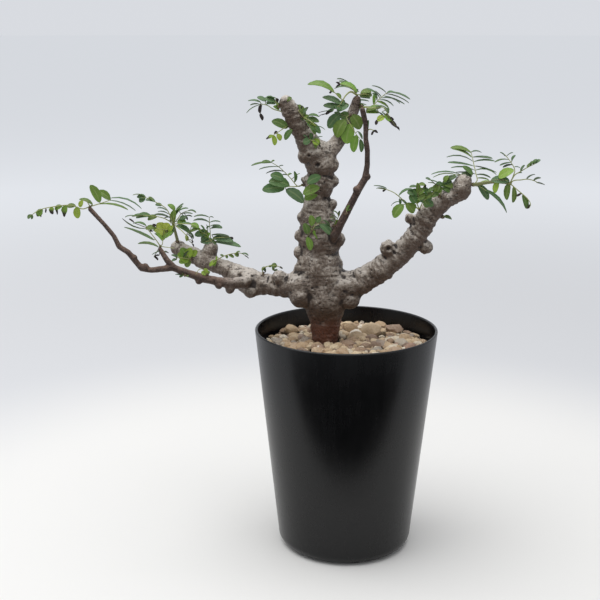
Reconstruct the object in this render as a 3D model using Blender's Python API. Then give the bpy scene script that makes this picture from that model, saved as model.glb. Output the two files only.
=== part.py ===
"""A potted senna: a small, thick-stemmed bonsai with feathery leaves, in a plain black nursery pot.

The part stands on the XY plane with its origin under the middle of the pot, +Z up. The long
thin branch reaches to -X, the thick right bough to +X, and the front of the plant faces -Y.
The pieces are the pot, the potting mix and the grit in it, the wood, and one piece for each
spray of leaves. Lengths are in millimetres and angles in degrees until a mesh is made.
"""

import math
import random
from collections import namedtuple

import bmesh
import bpy
from mathutils import Matrix, Vector
from mathutils.bvhtree import BVHTree

MM = 0.001
GAP = 0.3

# The pot: a slim 105 mm nursery pot, turned from one profile
RIM_RADIUS = 52.5
POT_HEIGHT = 131.0
BASE_RADIUS = 38.6
BASE_CORNER = 7.0
WALL = 1.6
INNER_CURVE_TOP = 9.0
INNER_CURVE = 3.5
FOOT_RADIUS = 33.1
FOOT_WIDTH = 3.0
RECESS = 2.0
CENTRE_PAD = 8.0
FLOOR_TOP = 4.0
DRAIN_HOLES = 6
DRAIN_RADIUS = 2.6
DRAIN_CIRCLE = 20.0
POT_SEGMENTS = 36

# What fills it
MIX_TOP = 112.0
GRIT_EDGE = 119.5
GRIT_CROWN = 121.5
STONES = 60
STONE_RADIUS = (3.9, 5.2)
STONE_STRETCH = ((0.9, 1.2), (0.75, 1), (0.6, 0.8))
STONE_ROUGHNESS = 0.15
STONE_LEAN = 0.3
STONE_SINK = 0.3
STONE_CLEARANCE = 1.2
FILL_SEGMENTS = 20

# The wood is blended from its limbs, then thinned to this many triangles
WOOD_VOXEL = 1.6
WOOD_SMOOTHING = 3
WOOD_TRIANGLES = 2200
TWIG_SIDES = 6

# Leaf stalks and leaflets
STALK = 0.42
ROOT_HALF = 0.5
BLADE_HALF = 0.32
BLADE_SECTIONS = ((0.45, 1), (1, 0.4))
LONG_BLADE = 11
LONG_BLADE_SECTIONS = ((0.3, 0.9), (0.72, 1), (1, 0.35))
SHOOT_RADIUS = 1.0
BUD_RADIUS = 1.4
SPUR_RADIUS = 2.0
SPUR_LIFT = 0.4
SPUR_SIDES = 5
SPLAY = (72, 38)
LONE_SPLAY = 42

# Limbs, each a run of (x, y, z, radius)
STEM = [(-12, 4, 60, 3), (-12, 4, 90, 5), (-12, 4, 112, 6.5), (-12, 4, 124, 7.4), (-12, 4, 130, 8.4),
        (-12, 4, 137, 9.6), (-12, 3, 142, 10.8), (-12, 2, 149, 13.5), (-12, 2, 155, 12.5),
        (-14, 2, 160, 12.5), (-16, 2, 169, 12.5), (-16, 2, 174, 11.2), (-15, 2, 177, 9.2),
        (-15, 2, 183, 12.4), (-16, 1, 189, 10.8), (-17, 1, 195, 10), (-17, 0, 202, 7.8),
        (-17, 0, 207, 6.4), (-16, 0, 213, 8.2), (-15, 0, 219, 7.2), (-15, 0, 226, 9),
        (-17, 0, 231, 8.2)]
BODY = [(-26, 0, 156, 9.3), (-19, 2, 156, 11.5), (-3, 1, 154, 11)]
LEFT_FORK = [(-18, -1, 231, 8), (-22, -2, 237, 6.5), (-25, -4, 243, 5.4), (-29, -6, 250, 5.2),
             (-32, -8, 256, 4.9), (-34, -9, 259.5, 4)]
RIGHT_FORK = [(-14, 0, 227, 6.5), (-11, 1, 231.5, 5), (-7, 3, 236, 4.2), (-2, 5, 242, 4), (1, 6, 249, 3.6),
              (4, 8, 256, 3), (5, 8, 260, 2.6)]
LEFT_BOUGH = [(-27, 2, 155, 8), (-35, 4, 155, 6.8), (-44, 7, 155, 6), (-51, 9, 155, 6.6),
              (-56, 11, 156, 7.8), (-62, 14, 159, 6), (-67, 17, 161, 4.9), (-74, 20, 163, 4.7),
              (-83, 23, 166, 4.9), (-92, 27, 169, 4.6), (-99, 30, 172, 4.4)]
LEFT_STUB = [(-81, 23, 167, 4.6), (-79, 23, 173, 4.4)]
RIGHT_BOUGH = [(-3, 0, 155, 9.5), (6, -3, 158, 7.6), (16, -6, 164.5, 7), (23, -9, 171, 7),
               (30, -11, 178, 6.3), (36, -13, 185, 6.1), (40, -15, 192, 6), (43, -17, 199, 6),
               (48, -19, 205, 5.6), (54, -21, 210, 5.2), (60, -23, 215, 5.9), (61, -23, 218, 5)]
KNOBS = [(-38, 2, 160, 4.6), (-55, 6, 152, 4.8), (22, -13, 180.5, 4.6), (22, -8, 166, 4.4),
         (43, -13, 181, 4.2), (34, -14, 197, 3.2), (53, -24, 211, 4), (-27, 0, 185, 3.4),
         (-6, -3, 184, 4.8), (-25, 0, 195, 3.4), (-9, 0, 203, 3.4), (-8, 0, 216, 3.4), (-23, 0, 216, 3.2),
         (-9, -2, 225, 4), (-24, -3, 230, 4.4), (-10, 0, 232, 4), (-6, 2, 168, 4.2), (-27, 0, 175, 3.6),
         (-26, 0, 166, 4.2), (-26, -3, 151, 7), (1, -3, 150, 6.8)]

# Thin stems and roots, each a run of (x, y, z, radius) from inside the wood to the tip
LONG_TWIG = [(-55, 10, 156, 3.6), (-59, 0, 158, 3.4), (-65, -8, 159, 3.1), (-72, -11, 161, 2.5),
             (-80, -13, 163, 2.4), (-90, -15, 167, 2.1), (-97, -16, 170, 1.9), (-109, -18, 169, 1.6),
             (-114, -18, 170, 1.7), (-121, -18, 179, 1.6), (-126, -17, 182, 1.5), (-129, -16, 188, 1.3),
             (-134, -15, 194, 1.2), (-142, -12, 202, 1.3)]
SIDE_SHOOT = [(-95, -16, 169, 1.6), (-100, -16, 174, 1.7), (-104, -14, 180, 1.3)]
UPRIGHT_TWIG = [(-10, -3, 181, 3), (-7, -9, 187, 2.6), (-4, -11, 194, 2.3), (1, -12, 204, 2),
                (5.5, -12, 213, 2), (9, -12, 219, 1.9), (10, -12, 226, 1.5), (10, -12, 234, 1.5),
                (9, -12, 241, 1.4), (9, -12, 248, 1.5), (7, -12, 256, 1.5)]
TWIG_KNOBS = [(-66, -9, 156, 2.6), (-72, -12, 159, 2.2), (-83, -14, 162, 2.1), (-112, -18, 171, 2),
              (-118, -18, 176, 1.9), (4.5, -13, 213, 2.3), (10, -12, 220, 2.1)]
ROOTS = [[(-12, 4, 104, 3.6), (-26, 7, 90, 2.2), (-32, 12, 62, 1)],
         [(-12, 4, 98, 3.6), (1, -6, 84, 2.2), (10, -12, 52, 1)],
         [(-12, 4, 86, 3), (-9, 15, 72, 1.9), (-6, 22, 40, 1)]]

# A leaf: the compass heading and rise of its stalk, its length and number of leaflet pairs, the
# length and width of a leaflet, how far the stalk bends down, and how far the leaf's upper face
# turns from the sky towards a compass heading (the front unless given)
Leaf = namedtuple("Leaf", "heading rise length pairs blade width droop tilt toward", defaults=(15, 10, -90))
Spray = namedtuple("Spray", "near leaves shoot shoot_leaves", defaults=((), ()))

SPRAYS = {
    "leaves_long_twig_tip": Spray((-142, -12, 203), [
        Leaf(-165, 6, 33, 6, 5.5, 3.3, 25, 60),
        Leaf(50, 12, 17, 3, 14, 3.2, 0, 20, -50)]),
    "leaves_left_bough_end": Spray((-99, 29, 177), [], [(-99, 29, 176), (-101, 26, 187)], [
        Leaf(165, 32, 25, 3, 8, 3.6, 10),
        Leaf(-165, 14, 28, 4, 7, 3.2, 15),
        Leaf(95, 58, 13, 2, 7, 3.8, 0, 30),
        Leaf(55, 18, 21, 3, 12, 3.4, 10),
        Leaf(2, 6, 23, 3, 8, 4.2, 15, 30),
        Leaf(-50, 0, 20, 3, 7, 3.6, 20),
        Leaf(-115, 4, 15, 3, 6, 3, 20, 60)]),
    "leaves_left_stub": Spray((-79, 22, 178), [
        Leaf(152, 20, 12, 2, 5, 3, 0, 30),
        Leaf(80, 10, 14, 3, 8, 2.8, 10),
        Leaf(-62, 10, 12, 2, 14, 4.2, 10, 30)]),
    "leaves_side_shoot": Spray((-104, -14, 181), [
        Leaf(118, 36, 18, 4, 13, 2.6, 0, 10),
        Leaf(-20, 50, 7, 2, 4, 2, 0)]),
    "leaves_left_bough_mid": Spray((-91, 20, 167), [
        Leaf(-128, 28, 13, 2, 7, 3.9, 20, 60),
        Leaf(-78, 16, 13, 2, 7, 3.9, 20, 60),
        Leaf(-160, -6, 11, 2, 4, 2.6, 20, 60)]),
    "leaves_left_bough_back": Spray((-77, 15, 166), [
        Leaf(-22, 22, 19, 3, 4, 2.6, 30, 30)]),
    "leaves_front_branch": Spray((-78, -13, 166), [
        Leaf(-160, 45, 9, 2, 4.5, 2.6, 30, 60)]),
    "leaves_front_branch_low": Spray((-90, -17, 166), [
        Leaf(-165, -10, 7, 2, 3, 2, 10, 50)]),
    "leaves_left_bough_top": Spray((-48, 6, 163), [
        Leaf(-12, 46, 14, 3, 3, 2, 80, 20)]),
    "leaves_crown_left_tip": Spray((-36, -9, 258), [
        Leaf(-175, 16, 20, 4, 7, 2.8, 15, 20),
        Leaf(148, 26, 15, 3, 6, 2.8, 10),
        Leaf(-40, 45, 4, 1, 5, 2.6, 0)]),
    "leaves_crown_left_low": Spray((-34, -8, 247), [
        Leaf(-150, 16, 4, 1, 9.5, 4.2, 0, 50),
        Leaf(-165, -12, 13, 3, 4.6, 2.5, 15, 70)]),
    "leaves_crown_side": Spray((-26, -9, 252), [
        Leaf(-60, 20, 9, 2, 7, 2.6, 10, 30),
        Leaf(-58, -22, 15, 3, 8, 2.8, 15, 20)]),
    "leaves_crown_inner": Spray((-22, -9, 240), [
        Leaf(-80, -8, 12, 3, 5, 2.4, 20, 60)]),
    "leaves_crown_right_tip": Spray((5, 8, 262), [
        Leaf(178, 20, 27, 4, 8.5, 3.6, 15, 15),
        Leaf(140, 38, 16, 3, 8, 3.2, 30),
        Leaf(50, 16, 13, 2, 7, 3.6, 20),
        Leaf(-160, 0, 21, 3, 9, 4, 15, 20)]),
    "leaves_crown_right_front": Spray((1, 3, 252), [
        Leaf(-110, -6, 17, 2, 9.4, 5.1, 20, 75),
        Leaf(-85, -30, 17, 2, 10, 5.1, 20, 75),
        Leaf(-55, -58, 19, 2, 8, 4, 10, 60)]),
    "leaves_upright_twig_tip": Spray((7, -12, 257), [
        Leaf(60, 36, 21, 4, 15, 2.5, 10, 10),
        Leaf(-20, 14, 21, 3, 6, 3.4, 70, 40),
        Leaf(-50, -30, 14, 2, 4, 2.6, 10, 40)]),
    "leaves_trunk_left": Spray((-30, -3, 211), [
        Leaf(145, 36, 23, 3, 10, 3, 15),
        Leaf(-160, 6, 9, 1, 13, 7, 10, 65),
        Leaf(-120, -30, 6, 1, 10, 5.5, 0, 70),
        Leaf(-110, 62, 6, 1, 4, 2.2, 0)]),
    "leaves_trunk_face": Spray((-21, -9, 208), [
        Leaf(-62, 6, 15, 2, 7, 4.6, 15, 75)]),
    "leaves_trunk_front": Spray((-20, -10, 190), [
        Leaf(-110, 42, 10, 2, 6, 2.9, 10, 80),
        Leaf(-55, 14, 14, 2, 7, 3.6, 15, 70),
        Leaf(-105, -36, 12, 2, 7, 3.4, 10, 70),
        Leaf(-70, -14, 14, 2, 7, 3.4, 20, 70)]),
    "leaves_trunk_right": Spray((-8, -9, 192), [
        Leaf(-75, 56, 11, 2, 5, 2.6, 15)]),
    "leaves_upright_twig_low": Spray((-1, -13, 200), [
        Leaf(-20, 30, 4, 1, 5, 2.4, 0)]),
    "leaves_right_bough_mid": Spray((36, -20, 204), [
        Leaf(175, 30, 21, 3, 6.5, 3.2, 20),
        Leaf(-130, -8, 9, 1, 8, 5.6, 10, 60),
        Leaf(-120, 36, 13, 2, 6, 3.6, 20, 60),
        Leaf(-75, 24, 14, 2, 7, 3.8, 20, 60),
        Leaf(-45, 12, 16, 2, 7, 4.2, 20, 60),
        Leaf(85, 52, 15, 2, 6, 3.6, 10)]),
    "leaves_right_bough_upper": Spray((49, -25, 211), [
        Leaf(-155, 40, 13, 3, 5, 2.5, 15),
        Leaf(-80, 56, 10, 2, 5, 2.9, 15, 50)]),
    "leaves_right_bough_end": Spray((67, -24, 217), [
        Leaf(95, 50, 25, 5, 12, 2.5, 15),
        Leaf(-172, 20, 23, 3, 9, 3.8, 15),
        Leaf(140, 42, 11, 2, 6, 3.2, 10),
        Leaf(-45, -24, 20, 3, 8, 3.6, 15, 30)],
        [(66, -24, 216), (76, -29, 220), (86, -34, 220)], [
        Leaf(-10, 22, 18, 3, 5, 3, 0, 20),
        Leaf(125, 56, 14, 2, 6, 3, 0),
        Leaf(-25, 2, 19, 2, 4, 2.6, 0, 20),
        Leaf(-40, -30, 20, 3, 8, 3.8, 25, 60),
        Leaf(-120, 4, 12, 2, 8, 3.5, 20, 50)]),
    "leaves_right_bough_under": Spray((50, -19, 200), [
        Leaf(-25, -12, 4, 1, 5, 2.6, 0)]),
}


def material(name, colour, roughness, metallic=0.0):
    """A plain surface of one colour."""
    finish = bpy.data.materials.new(name)
    finish.use_nodes = True
    shader = finish.node_tree.nodes["Principled BSDF"]
    shader.inputs["Base Color"].default_value = (*colour, 1.0)
    shader.inputs["Roughness"].default_value = roughness
    shader.inputs["Metallic"].default_value = metallic
    return finish


def new_object(name, mesh_data, finish=None, collection=None):
    """An object in the scene, or in a helper collection, from a finished bmesh."""
    mesh = bpy.data.meshes.new(name)
    mesh_data.to_mesh(mesh)
    mesh_data.free()
    if finish:
        mesh.materials.append(finish)
    piece = bpy.data.objects.new(name, mesh)
    (collection or bpy.context.scene.collection).objects.link(piece)
    return piece


def new_collection(name):
    """A helper collection, linked to the scene so that its objects are evaluated."""
    group = bpy.data.collections.new(name)
    bpy.context.scene.collection.children.link(group)
    return group


def clear_collection(group):
    """Remove a helper collection with its objects."""
    for piece in list(group.objects):
        bpy.data.objects.remove(piece)
    bpy.data.collections.remove(group)


def settle(piece):
    """Put what the modifiers make of the object into its mesh."""
    bpy.context.view_layer.update()
    depsgraph = bpy.context.evaluated_depsgraph_get()
    settled = bpy.data.meshes.new_from_object(piece.evaluated_get(depsgraph))
    piece.modifiers.clear()
    piece.data = settled


def is_closed(piece):
    """Whether every edge of the object's mesh has two faces."""
    bm = bmesh.new()
    bm.from_mesh(piece.data)
    closed = all(len(edge.link_faces) == 2 for edge in bm.edges)
    bm.free()
    return closed


def boolean(piece, operation, group):
    """Join the collection's objects to the piece, or cut them from it."""
    before = piece.data
    for solver in ("EXACT", "MANIFOLD"):
        piece.data = before
        cut = piece.modifiers.new(operation.title(), "BOOLEAN")
        cut.operation = operation
        cut.operand_type = "COLLECTION"
        cut.collection = group
        cut.solver = solver
        settle(piece)
        if is_closed(piece):
            break


def keep_main_body(piece):
    """Drop the loose scraps that a cut leaves, and keep the largest body."""
    bm = bmesh.new()
    bm.from_mesh(piece.data)
    unseen = set(bm.verts)
    bodies = []
    while unseen:
        body = {unseen.pop()}
        to_visit = list(body)
        while to_visit:
            vert = to_visit.pop()
            for edge in vert.link_edges:
                other = edge.other_vert(vert)
                if other in unseen:
                    unseen.discard(other)
                    body.add(other)
                    to_visit.append(other)
        bodies.append(body)
    bodies.sort(key=len)
    for scrap in bodies[:-1]:
        bmesh.ops.delete(bm, geom=list(scrap), context="VERTS")
    bm.to_mesh(piece.data)
    bm.free()


def turned(profile, segments):
    """A solid turned about Z from a profile of (radius, z), from the axis round to the axis."""
    bm = bmesh.new()
    verts = [bm.verts.new((radius * MM, 0, z * MM)) for radius, z in profile]
    edges = [bm.edges.new(pair) for pair in zip(verts, verts[1:])]
    bmesh.ops.spin(bm, geom=verts + edges, axis=(0, 0, 1), cent=(0, 0, 0), angle=2 * math.pi,
                   steps=segments, use_merge=True)
    bmesh.ops.remove_doubles(bm, verts=bm.verts, dist=0.01 * MM)
    bmesh.ops.recalc_face_normals(bm, faces=bm.faces)
    return bm


def arc(centre, radius, start, end, steps):
    """Points of (radius, z) along an arc between two angles."""
    angles = [math.radians(start + (end - start) * step / steps) for step in range(steps + 1)]
    return [(centre[0] + radius * math.cos(a), centre[1] + radius * math.sin(a)) for a in angles]


def wall_radius(z):
    """The pot's outer radius at a height."""
    return BASE_RADIUS + (RIM_RADIUS - BASE_RADIUS) * z / POT_HEIGHT


def inner_radius(z):
    """The radius of the space inside the pot at a height."""
    return wall_radius(z) - WALL


def make_pot(finish):
    """The tapering pot with its rounded lip, foot ring, centre pad and drain holes."""
    corner = arc((wall_radius(BASE_CORNER) - BASE_CORNER, BASE_CORNER), BASE_CORNER, -75, 0, 3)
    lip_centre = (RIM_RADIUS - WALL / 2, POT_HEIGHT - WALL / 2)
    profile = [(0, 0), (CENTRE_PAD, 0), (CENTRE_PAD, RECESS), (FOOT_RADIUS - FOOT_WIDTH, RECESS),
               (FOOT_RADIUS - FOOT_WIDTH, 0), (FOOT_RADIUS, 0)]
    profile += corner
    profile += arc(lip_centre, WALL / 2, 0, 180, 2)
    profile += [(inner_radius(INNER_CURVE_TOP), INNER_CURVE_TOP),
                (inner_radius(FLOOR_TOP) - INNER_CURVE, FLOOR_TOP), (0, FLOOR_TOP)]
    pot = new_object("pot", turned(profile, POT_SEGMENTS), finish)
    drills = new_collection("drain_drills")
    for hole in range(DRAIN_HOLES):
        angle = 2 * math.pi * (hole + 0.5) / DRAIN_HOLES
        place = Vector((DRAIN_CIRCLE * math.cos(angle), DRAIN_CIRCLE * math.sin(angle), FLOOR_TOP / 2))
        drill = bmesh.new()
        bmesh.ops.create_cone(drill, cap_ends=True, segments=8, radius1=DRAIN_RADIUS * MM,
                              radius2=DRAIN_RADIUS * MM, depth=3 * FLOOR_TOP * MM,
                              matrix=Matrix.Translation(place * MM))
        new_object("drain_drill", drill, collection=drills)
    boolean(pot, "DIFFERENCE", drills)
    clear_collection(drills)
    pot.data.shade_smooth()
    pot.data.set_sharp_from_angle(angle=math.radians(40))
    return pot


def make_mix(finish):
    """The potting mix, up to the grit, just clear of the pot."""
    bottom = FLOOR_TOP + GAP
    profile = [(0, bottom), (inner_radius(FLOOR_TOP) - INNER_CURVE - 2 * GAP, bottom),
               (inner_radius(INNER_CURVE_TOP) - 2 * GAP, INNER_CURVE_TOP),
               (inner_radius(MIX_TOP) - 2 * GAP, MIX_TOP), (0, MIX_TOP)]
    return new_object("potting_mix", turned(profile, FILL_SEGMENTS), finish)


def make_grit(finish):
    """The grit: a low mound of stones that stand half out of their bed."""
    draw = random.Random(7)
    bottom = MIX_TOP + GAP
    bed_radius = inner_radius(bottom) - 2 * GAP
    profile = [(0, bottom), (bed_radius, bottom), (bed_radius, GRIT_EDGE), (bed_radius * 0.5, GRIT_CROWN - 1),
               (0, GRIT_CROWN)]
    grit = new_object("grit", turned(profile, FILL_SEGMENTS), finish)
    stones = new_collection("stones")
    golden_angle = math.pi * (3 - math.sqrt(5))
    for index in range(STONES):
        size = draw.uniform(*STONE_RADIUS)
        reach = (bed_radius - size - STONE_CLEARANCE) * math.sqrt((index + 0.5) / STONES)
        angle = index * golden_angle + draw.uniform(-0.05, 0.05)
        bed = GRIT_CROWN + (GRIT_EDGE - GRIT_CROWN) * reach / bed_radius
        place = Vector((reach * math.cos(angle), reach * math.sin(angle), bed + size * STONE_SINK))
        stone = bmesh.new()
        bmesh.ops.create_icosphere(stone, subdivisions=1, radius=size * MM)
        for vert in stone.verts:
            vert.co *= draw.uniform(1 - STONE_ROUGHNESS, 1 + STONE_ROUGHNESS)
        squash = Matrix.Diagonal([draw.uniform(*limits) for limits in STONE_STRETCH] + [1])
        turn = Matrix.Rotation(draw.uniform(0, math.pi), 4, "Z")
        lean = Matrix.Rotation(draw.uniform(-STONE_LEAN, STONE_LEAN), 4, "X")
        bmesh.ops.transform(stone, matrix=Matrix.Translation(place * MM) @ turn @ lean @ squash,
                            verts=stone.verts)
        new_object("stone", stone, collection=stones)
    boolean(grit, "UNION", stones)
    clear_collection(stones)
    return grit


def add_ball(bm, place, radius):
    """A ball in a bmesh of limbs."""
    bmesh.ops.create_icosphere(bm, subdivisions=3, radius=radius * MM,
                               matrix=Matrix.Translation(Vector(place) * MM))


def add_limb(bm, run):
    """A limb: a ball at each point of the run and a tapering length from each to the next."""
    for x, y, z, radius in run:
        add_ball(bm, (x, y, z), radius)
    for first, second in zip(run, run[1:]):
        start = Vector(first[:3])
        step = Vector(second[:3]) - start
        turn = step.to_track_quat("Z", "Y").to_matrix().to_4x4()
        bmesh.ops.create_cone(bm, cap_ends=True, segments=20, radius1=first[3] * MM,
                              radius2=second[3] * MM, depth=step.length * MM,
                              matrix=Matrix.Translation((start + step / 2) * MM) @ turn)


def tube(run, sides):
    """A closed tube with a ring of corners at each point of the run."""
    bm = bmesh.new()
    points = [Vector(point[:3]) for point in run]
    steps = [(b - a).normalized() for a, b in zip(points, points[1:])]
    ways = [steps[0]] + [(a + b).normalized() for a, b in zip(steps, steps[1:])] + [steps[-1]]
    turn = ways[0].to_track_quat("Z", "Y")
    rings = []
    for index, (point, way) in enumerate(zip(points, ways)):
        turn = ways[max(index - 1, 0)].rotation_difference(way) @ turn
        ring = []
        for side in range(sides):
            angle = 2 * math.pi * side / sides
            corner = turn @ Vector((math.cos(angle), math.sin(angle), 0)) * run[index][3]
            ring.append(bm.verts.new((point + corner) * MM))
        rings.append(ring)
    for lower, upper in zip(rings, rings[1:]):
        for side in range(sides):
            after = (side + 1) % sides
            bm.faces.new((lower[side], lower[after], upper[after], upper[side]))
    bm.faces.new(rings[0])
    bm.faces.new(rings[-1])
    bmesh.ops.recalc_face_normals(bm, faces=bm.faces)
    return bm


def blend_limbs(wood):
    """Blend the overlapping limbs into one skin, soften it and thin it."""
    remesh = wood.modifiers.new("Blend", "REMESH")
    remesh.mode = "VOXEL"
    remesh.voxel_size = WOOD_VOXEL * MM
    soften = wood.modifiers.new("Soften", "SMOOTH")
    soften.iterations = WOOD_SMOOTHING
    settle(wood)
    wood.data.calc_loop_triangles()
    thin = wood.modifiers.new("Thin", "DECIMATE")
    thin.ratio = WOOD_TRIANGLES / len(wood.data.loop_triangles)
    thin.use_collapse_triangulate = True
    settle(wood)


def make_wood(finish):
    """The wood, from root to crown: limbs blended in one, with the thin stems and roots joined on."""
    bm = bmesh.new()
    for run in (STEM, BODY, LEFT_FORK, RIGHT_FORK, LEFT_BOUGH, LEFT_STUB, RIGHT_BOUGH):
        add_limb(bm, run)
    for *place, radius in KNOBS:
        add_ball(bm, place, radius)
    wood = new_object("wood", bm)
    blend_limbs(wood)
    thin_stems = new_collection("thin_stems")
    for run in [LONG_TWIG, SIDE_SHOOT, UPRIGHT_TWIG] + ROOTS:
        new_object("thin_stem", tube(run, TWIG_SIDES), collection=thin_stems)
    for *place, radius in TWIG_KNOBS:
        knob = bmesh.new()
        bmesh.ops.create_icosphere(knob, subdivisions=1, radius=radius * MM,
                                   matrix=Matrix.Translation(Vector(place) * MM))
        new_object("twig_knob", knob, collection=thin_stems)
    boolean(wood, "UNION", thin_stems)
    clear_collection(thin_stems)
    keep_main_body(wood)
    wood.data.materials.clear()
    wood.data.materials.append(finish)
    wood.data.shade_smooth()
    return wood


def make_wood_cutter(wood):
    """The wood, a little fatter: what touches the wood is cut back from it by the gap."""
    group = new_collection("wood_cutter")
    cutter = wood.copy()
    cutter.data = wood.data.copy()
    cutter.name = "wood_cutter"
    group.objects.link(cutter)
    fatten = cutter.modifiers.new("Gap", "DISPLACE")
    fatten.strength = GAP * MM
    fatten.mid_level = 0
    settle(cutter)
    cutter.hide_render = True
    cutter.display_type = "WIRE"
    return group


def grow(bm, end, place, across, up, half_width, half_height):
    """Extrude an end face to a new four-cornered section, and return the new end."""
    middle = end.calc_center_median()
    new_end = bmesh.ops.extrude_discrete_faces(bm, faces=[end])["faces"][0]
    for vert in new_end.verts:
        corner = vert.co - middle
        width = math.copysign(half_width, corner.dot(across))
        height = math.copysign(half_height, corner.dot(up))
        vert.co = (place + across * width + up * height) * MM
    return new_end


def add_leaflet(bm, root, forward, side, up, splay, length, width):
    """A flat leaflet, grown from a side face of the leaf stalk."""
    middle = root.calc_center_median() / MM
    along = forward * math.cos(splay) + side * math.sin(splay)
    across = forward * math.sin(splay) - side * math.cos(splay)
    end = root
    for reach, share in LONG_BLADE_SECTIONS if length > LONG_BLADE else BLADE_SECTIONS:
        end = grow(bm, end, middle + along * length * reach, across, up, width * share / 2, BLADE_HALF)


def make_leaf(start, leaf, draw, group):
    """One leaf: a bent stalk with pairs of leaflets, the last pair spread forward."""
    heading, rise, toward, tilt = (math.radians(a) for a in (leaf.heading, leaf.rise, leaf.toward, leaf.tilt))
    droop = math.radians(leaf.droop) or 1e-4
    way = Vector((math.cos(rise) * math.cos(heading), math.cos(rise) * math.sin(heading), math.sin(rise)))
    face = Vector((math.sin(tilt) * math.cos(toward), math.sin(tilt) * math.sin(toward), math.cos(tilt)))
    up = (face - way * face.dot(way)).normalized()
    side = way.cross(up)
    bend_radius = leaf.length / droop

    def frame(distance):
        angle = droop * distance / leaf.length
        place = start + way * math.sin(angle) * bend_radius - up * (1 - math.cos(angle)) * bend_radius
        forward = way * math.cos(angle) - up * math.sin(angle)
        return place, forward, up * math.cos(angle) + way * math.sin(angle)

    bm = bmesh.new()
    corners = [(-1, -1), (1, -1), (1, 1), (-1, 1)]
    base = [bm.verts.new((start + (side * a + up * b) * STALK) * MM) for a, b in corners]
    end = bm.faces.new(base)
    spacing = 0.8 * leaf.length / leaf.pairs
    for pair in range(leaf.pairs):
        middle = leaf.length - ROOT_HALF - spacing * (leaf.pairs - 1 - pair)
        share = (pair + 1) / leaf.pairs
        for distance in (middle - ROOT_HALF, middle + ROOT_HALF):
            place, forward, lift = frame(distance)
            end = grow(bm, end, place, side, lift, STALK, STALK)
        flanks = [face for edge in end.edges for face in edge.link_faces if face is not end]
        flanks.sort(key=lambda face: face.calc_center_median().dot(side))
        splay = SPLAY[0] + (SPLAY[1] - SPLAY[0]) * share ** 2
        splay = math.radians(splay if leaf.pairs > 1 else LONE_SPLAY)
        size = leaf.blade * (1 - 0.3 * abs(share - 0.6))
        for root, way_out in ((flanks[0], -side), (flanks[-1], side)):
            add_leaflet(bm, root, forward, way_out, lift, splay + draw.uniform(-0.04, 0.04),
                        size * draw.uniform(0.9, 1.08), leaf.width)
    bm.faces.new(base)
    bmesh.ops.recalc_face_normals(bm, faces=bm.faces)
    new_object("leaf", bm, collection=group)


def make_spray(name, spray, wood_skin, wood_cutter, finish):
    """A spur on the wood with its leaves, and a green shoot with more of them where it has one."""
    draw = random.Random(name)
    spot, normal, *_ = wood_skin.find_nearest(Vector(spray.near) * MM)
    hub = spot / MM + normal * SPUR_LIFT
    turn = normal.to_track_quat("Z", "Y").to_matrix().to_4x4()
    spur = bmesh.new()
    bmesh.ops.create_uvsphere(spur, u_segments=SPUR_SIDES, v_segments=2, radius=SPUR_RADIUS * MM,
                              matrix=Matrix.Translation(hub * MM) @ turn)
    piece = new_object(name, spur, finish)
    parts = new_collection("leaves")
    for leaf in spray.leaves:
        make_leaf(hub, leaf, draw, parts)
    if spray.shoot:
        tip = Vector(spray.shoot[-1])
        run = [(*point, SHOOT_RADIUS) for point in (hub, *spray.shoot[1:])]
        new_object("shoot", tube(run, TWIG_SIDES), collection=parts)
        bud = bmesh.new()
        bmesh.ops.create_icosphere(bud, subdivisions=1, radius=BUD_RADIUS * MM,
                                   matrix=Matrix.Translation(tip * MM))
        new_object("bud", bud, collection=parts)
        for leaf in spray.shoot_leaves:
            make_leaf(tip, leaf, draw, parts)
    boolean(piece, "UNION", parts)
    clear_collection(parts)
    boolean(piece, "DIFFERENCE", wood_cutter)
    keep_main_body(piece)
    return piece


def main():
    """Clear the scene and make every piece."""
    for piece in list(bpy.data.objects):
        bpy.data.objects.remove(piece)
    plastic = material("black_plastic", (0.012, 0.013, 0.014), 0.38)
    soil = material("potting_mix", (0.06, 0.04, 0.028), 0.95)
    stone = material("grit_stone", (0.55, 0.43, 0.32), 0.85)
    bark = material("bark", (0.3, 0.24, 0.2), 0.85)
    green = material("leaf", (0.07, 0.18, 0.03), 0.5)

    make_pot(plastic)
    mix = make_mix(soil)
    grit = make_grit(stone)
    wood = make_wood(bark)
    wood_cutter = make_wood_cutter(wood)
    for piece in (mix, grit):
        boolean(piece, "DIFFERENCE", wood_cutter)
        keep_main_body(piece)
    wood_mesh = bmesh.new()
    wood_mesh.from_mesh(wood.data)
    wood_skin = BVHTree.FromBMesh(wood_mesh)
    for name, spray in SPRAYS.items():
        make_spray(name, spray, wood_skin, wood_cutter, green)
    wood_mesh.free()
    clear_collection(wood_cutter)


main()
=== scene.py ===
"""The looks of a potted senna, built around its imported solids.

Every piece stands where its solid stands: +Z up, the long thin branch to -X, the thick right
bough to +X, and the front of the plant to -Y. The tables of points, and the sizes of leaves, bark
and stones, are in millimetres and degrees, and become metres as a mesh is made. The settings, and
the values multiplied by MM, are in metres.
"""

import math
import random
from collections import namedtuple

import bmesh
import bpy
import numpy as np
from bpy.props import FloatProperty, FloatVectorProperty, IntProperty, PointerProperty
from mathutils import Matrix, Vector, noise
from mathutils.bvhtree import BVHTree
from mathutils.geometry import interpolate_bezier


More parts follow.
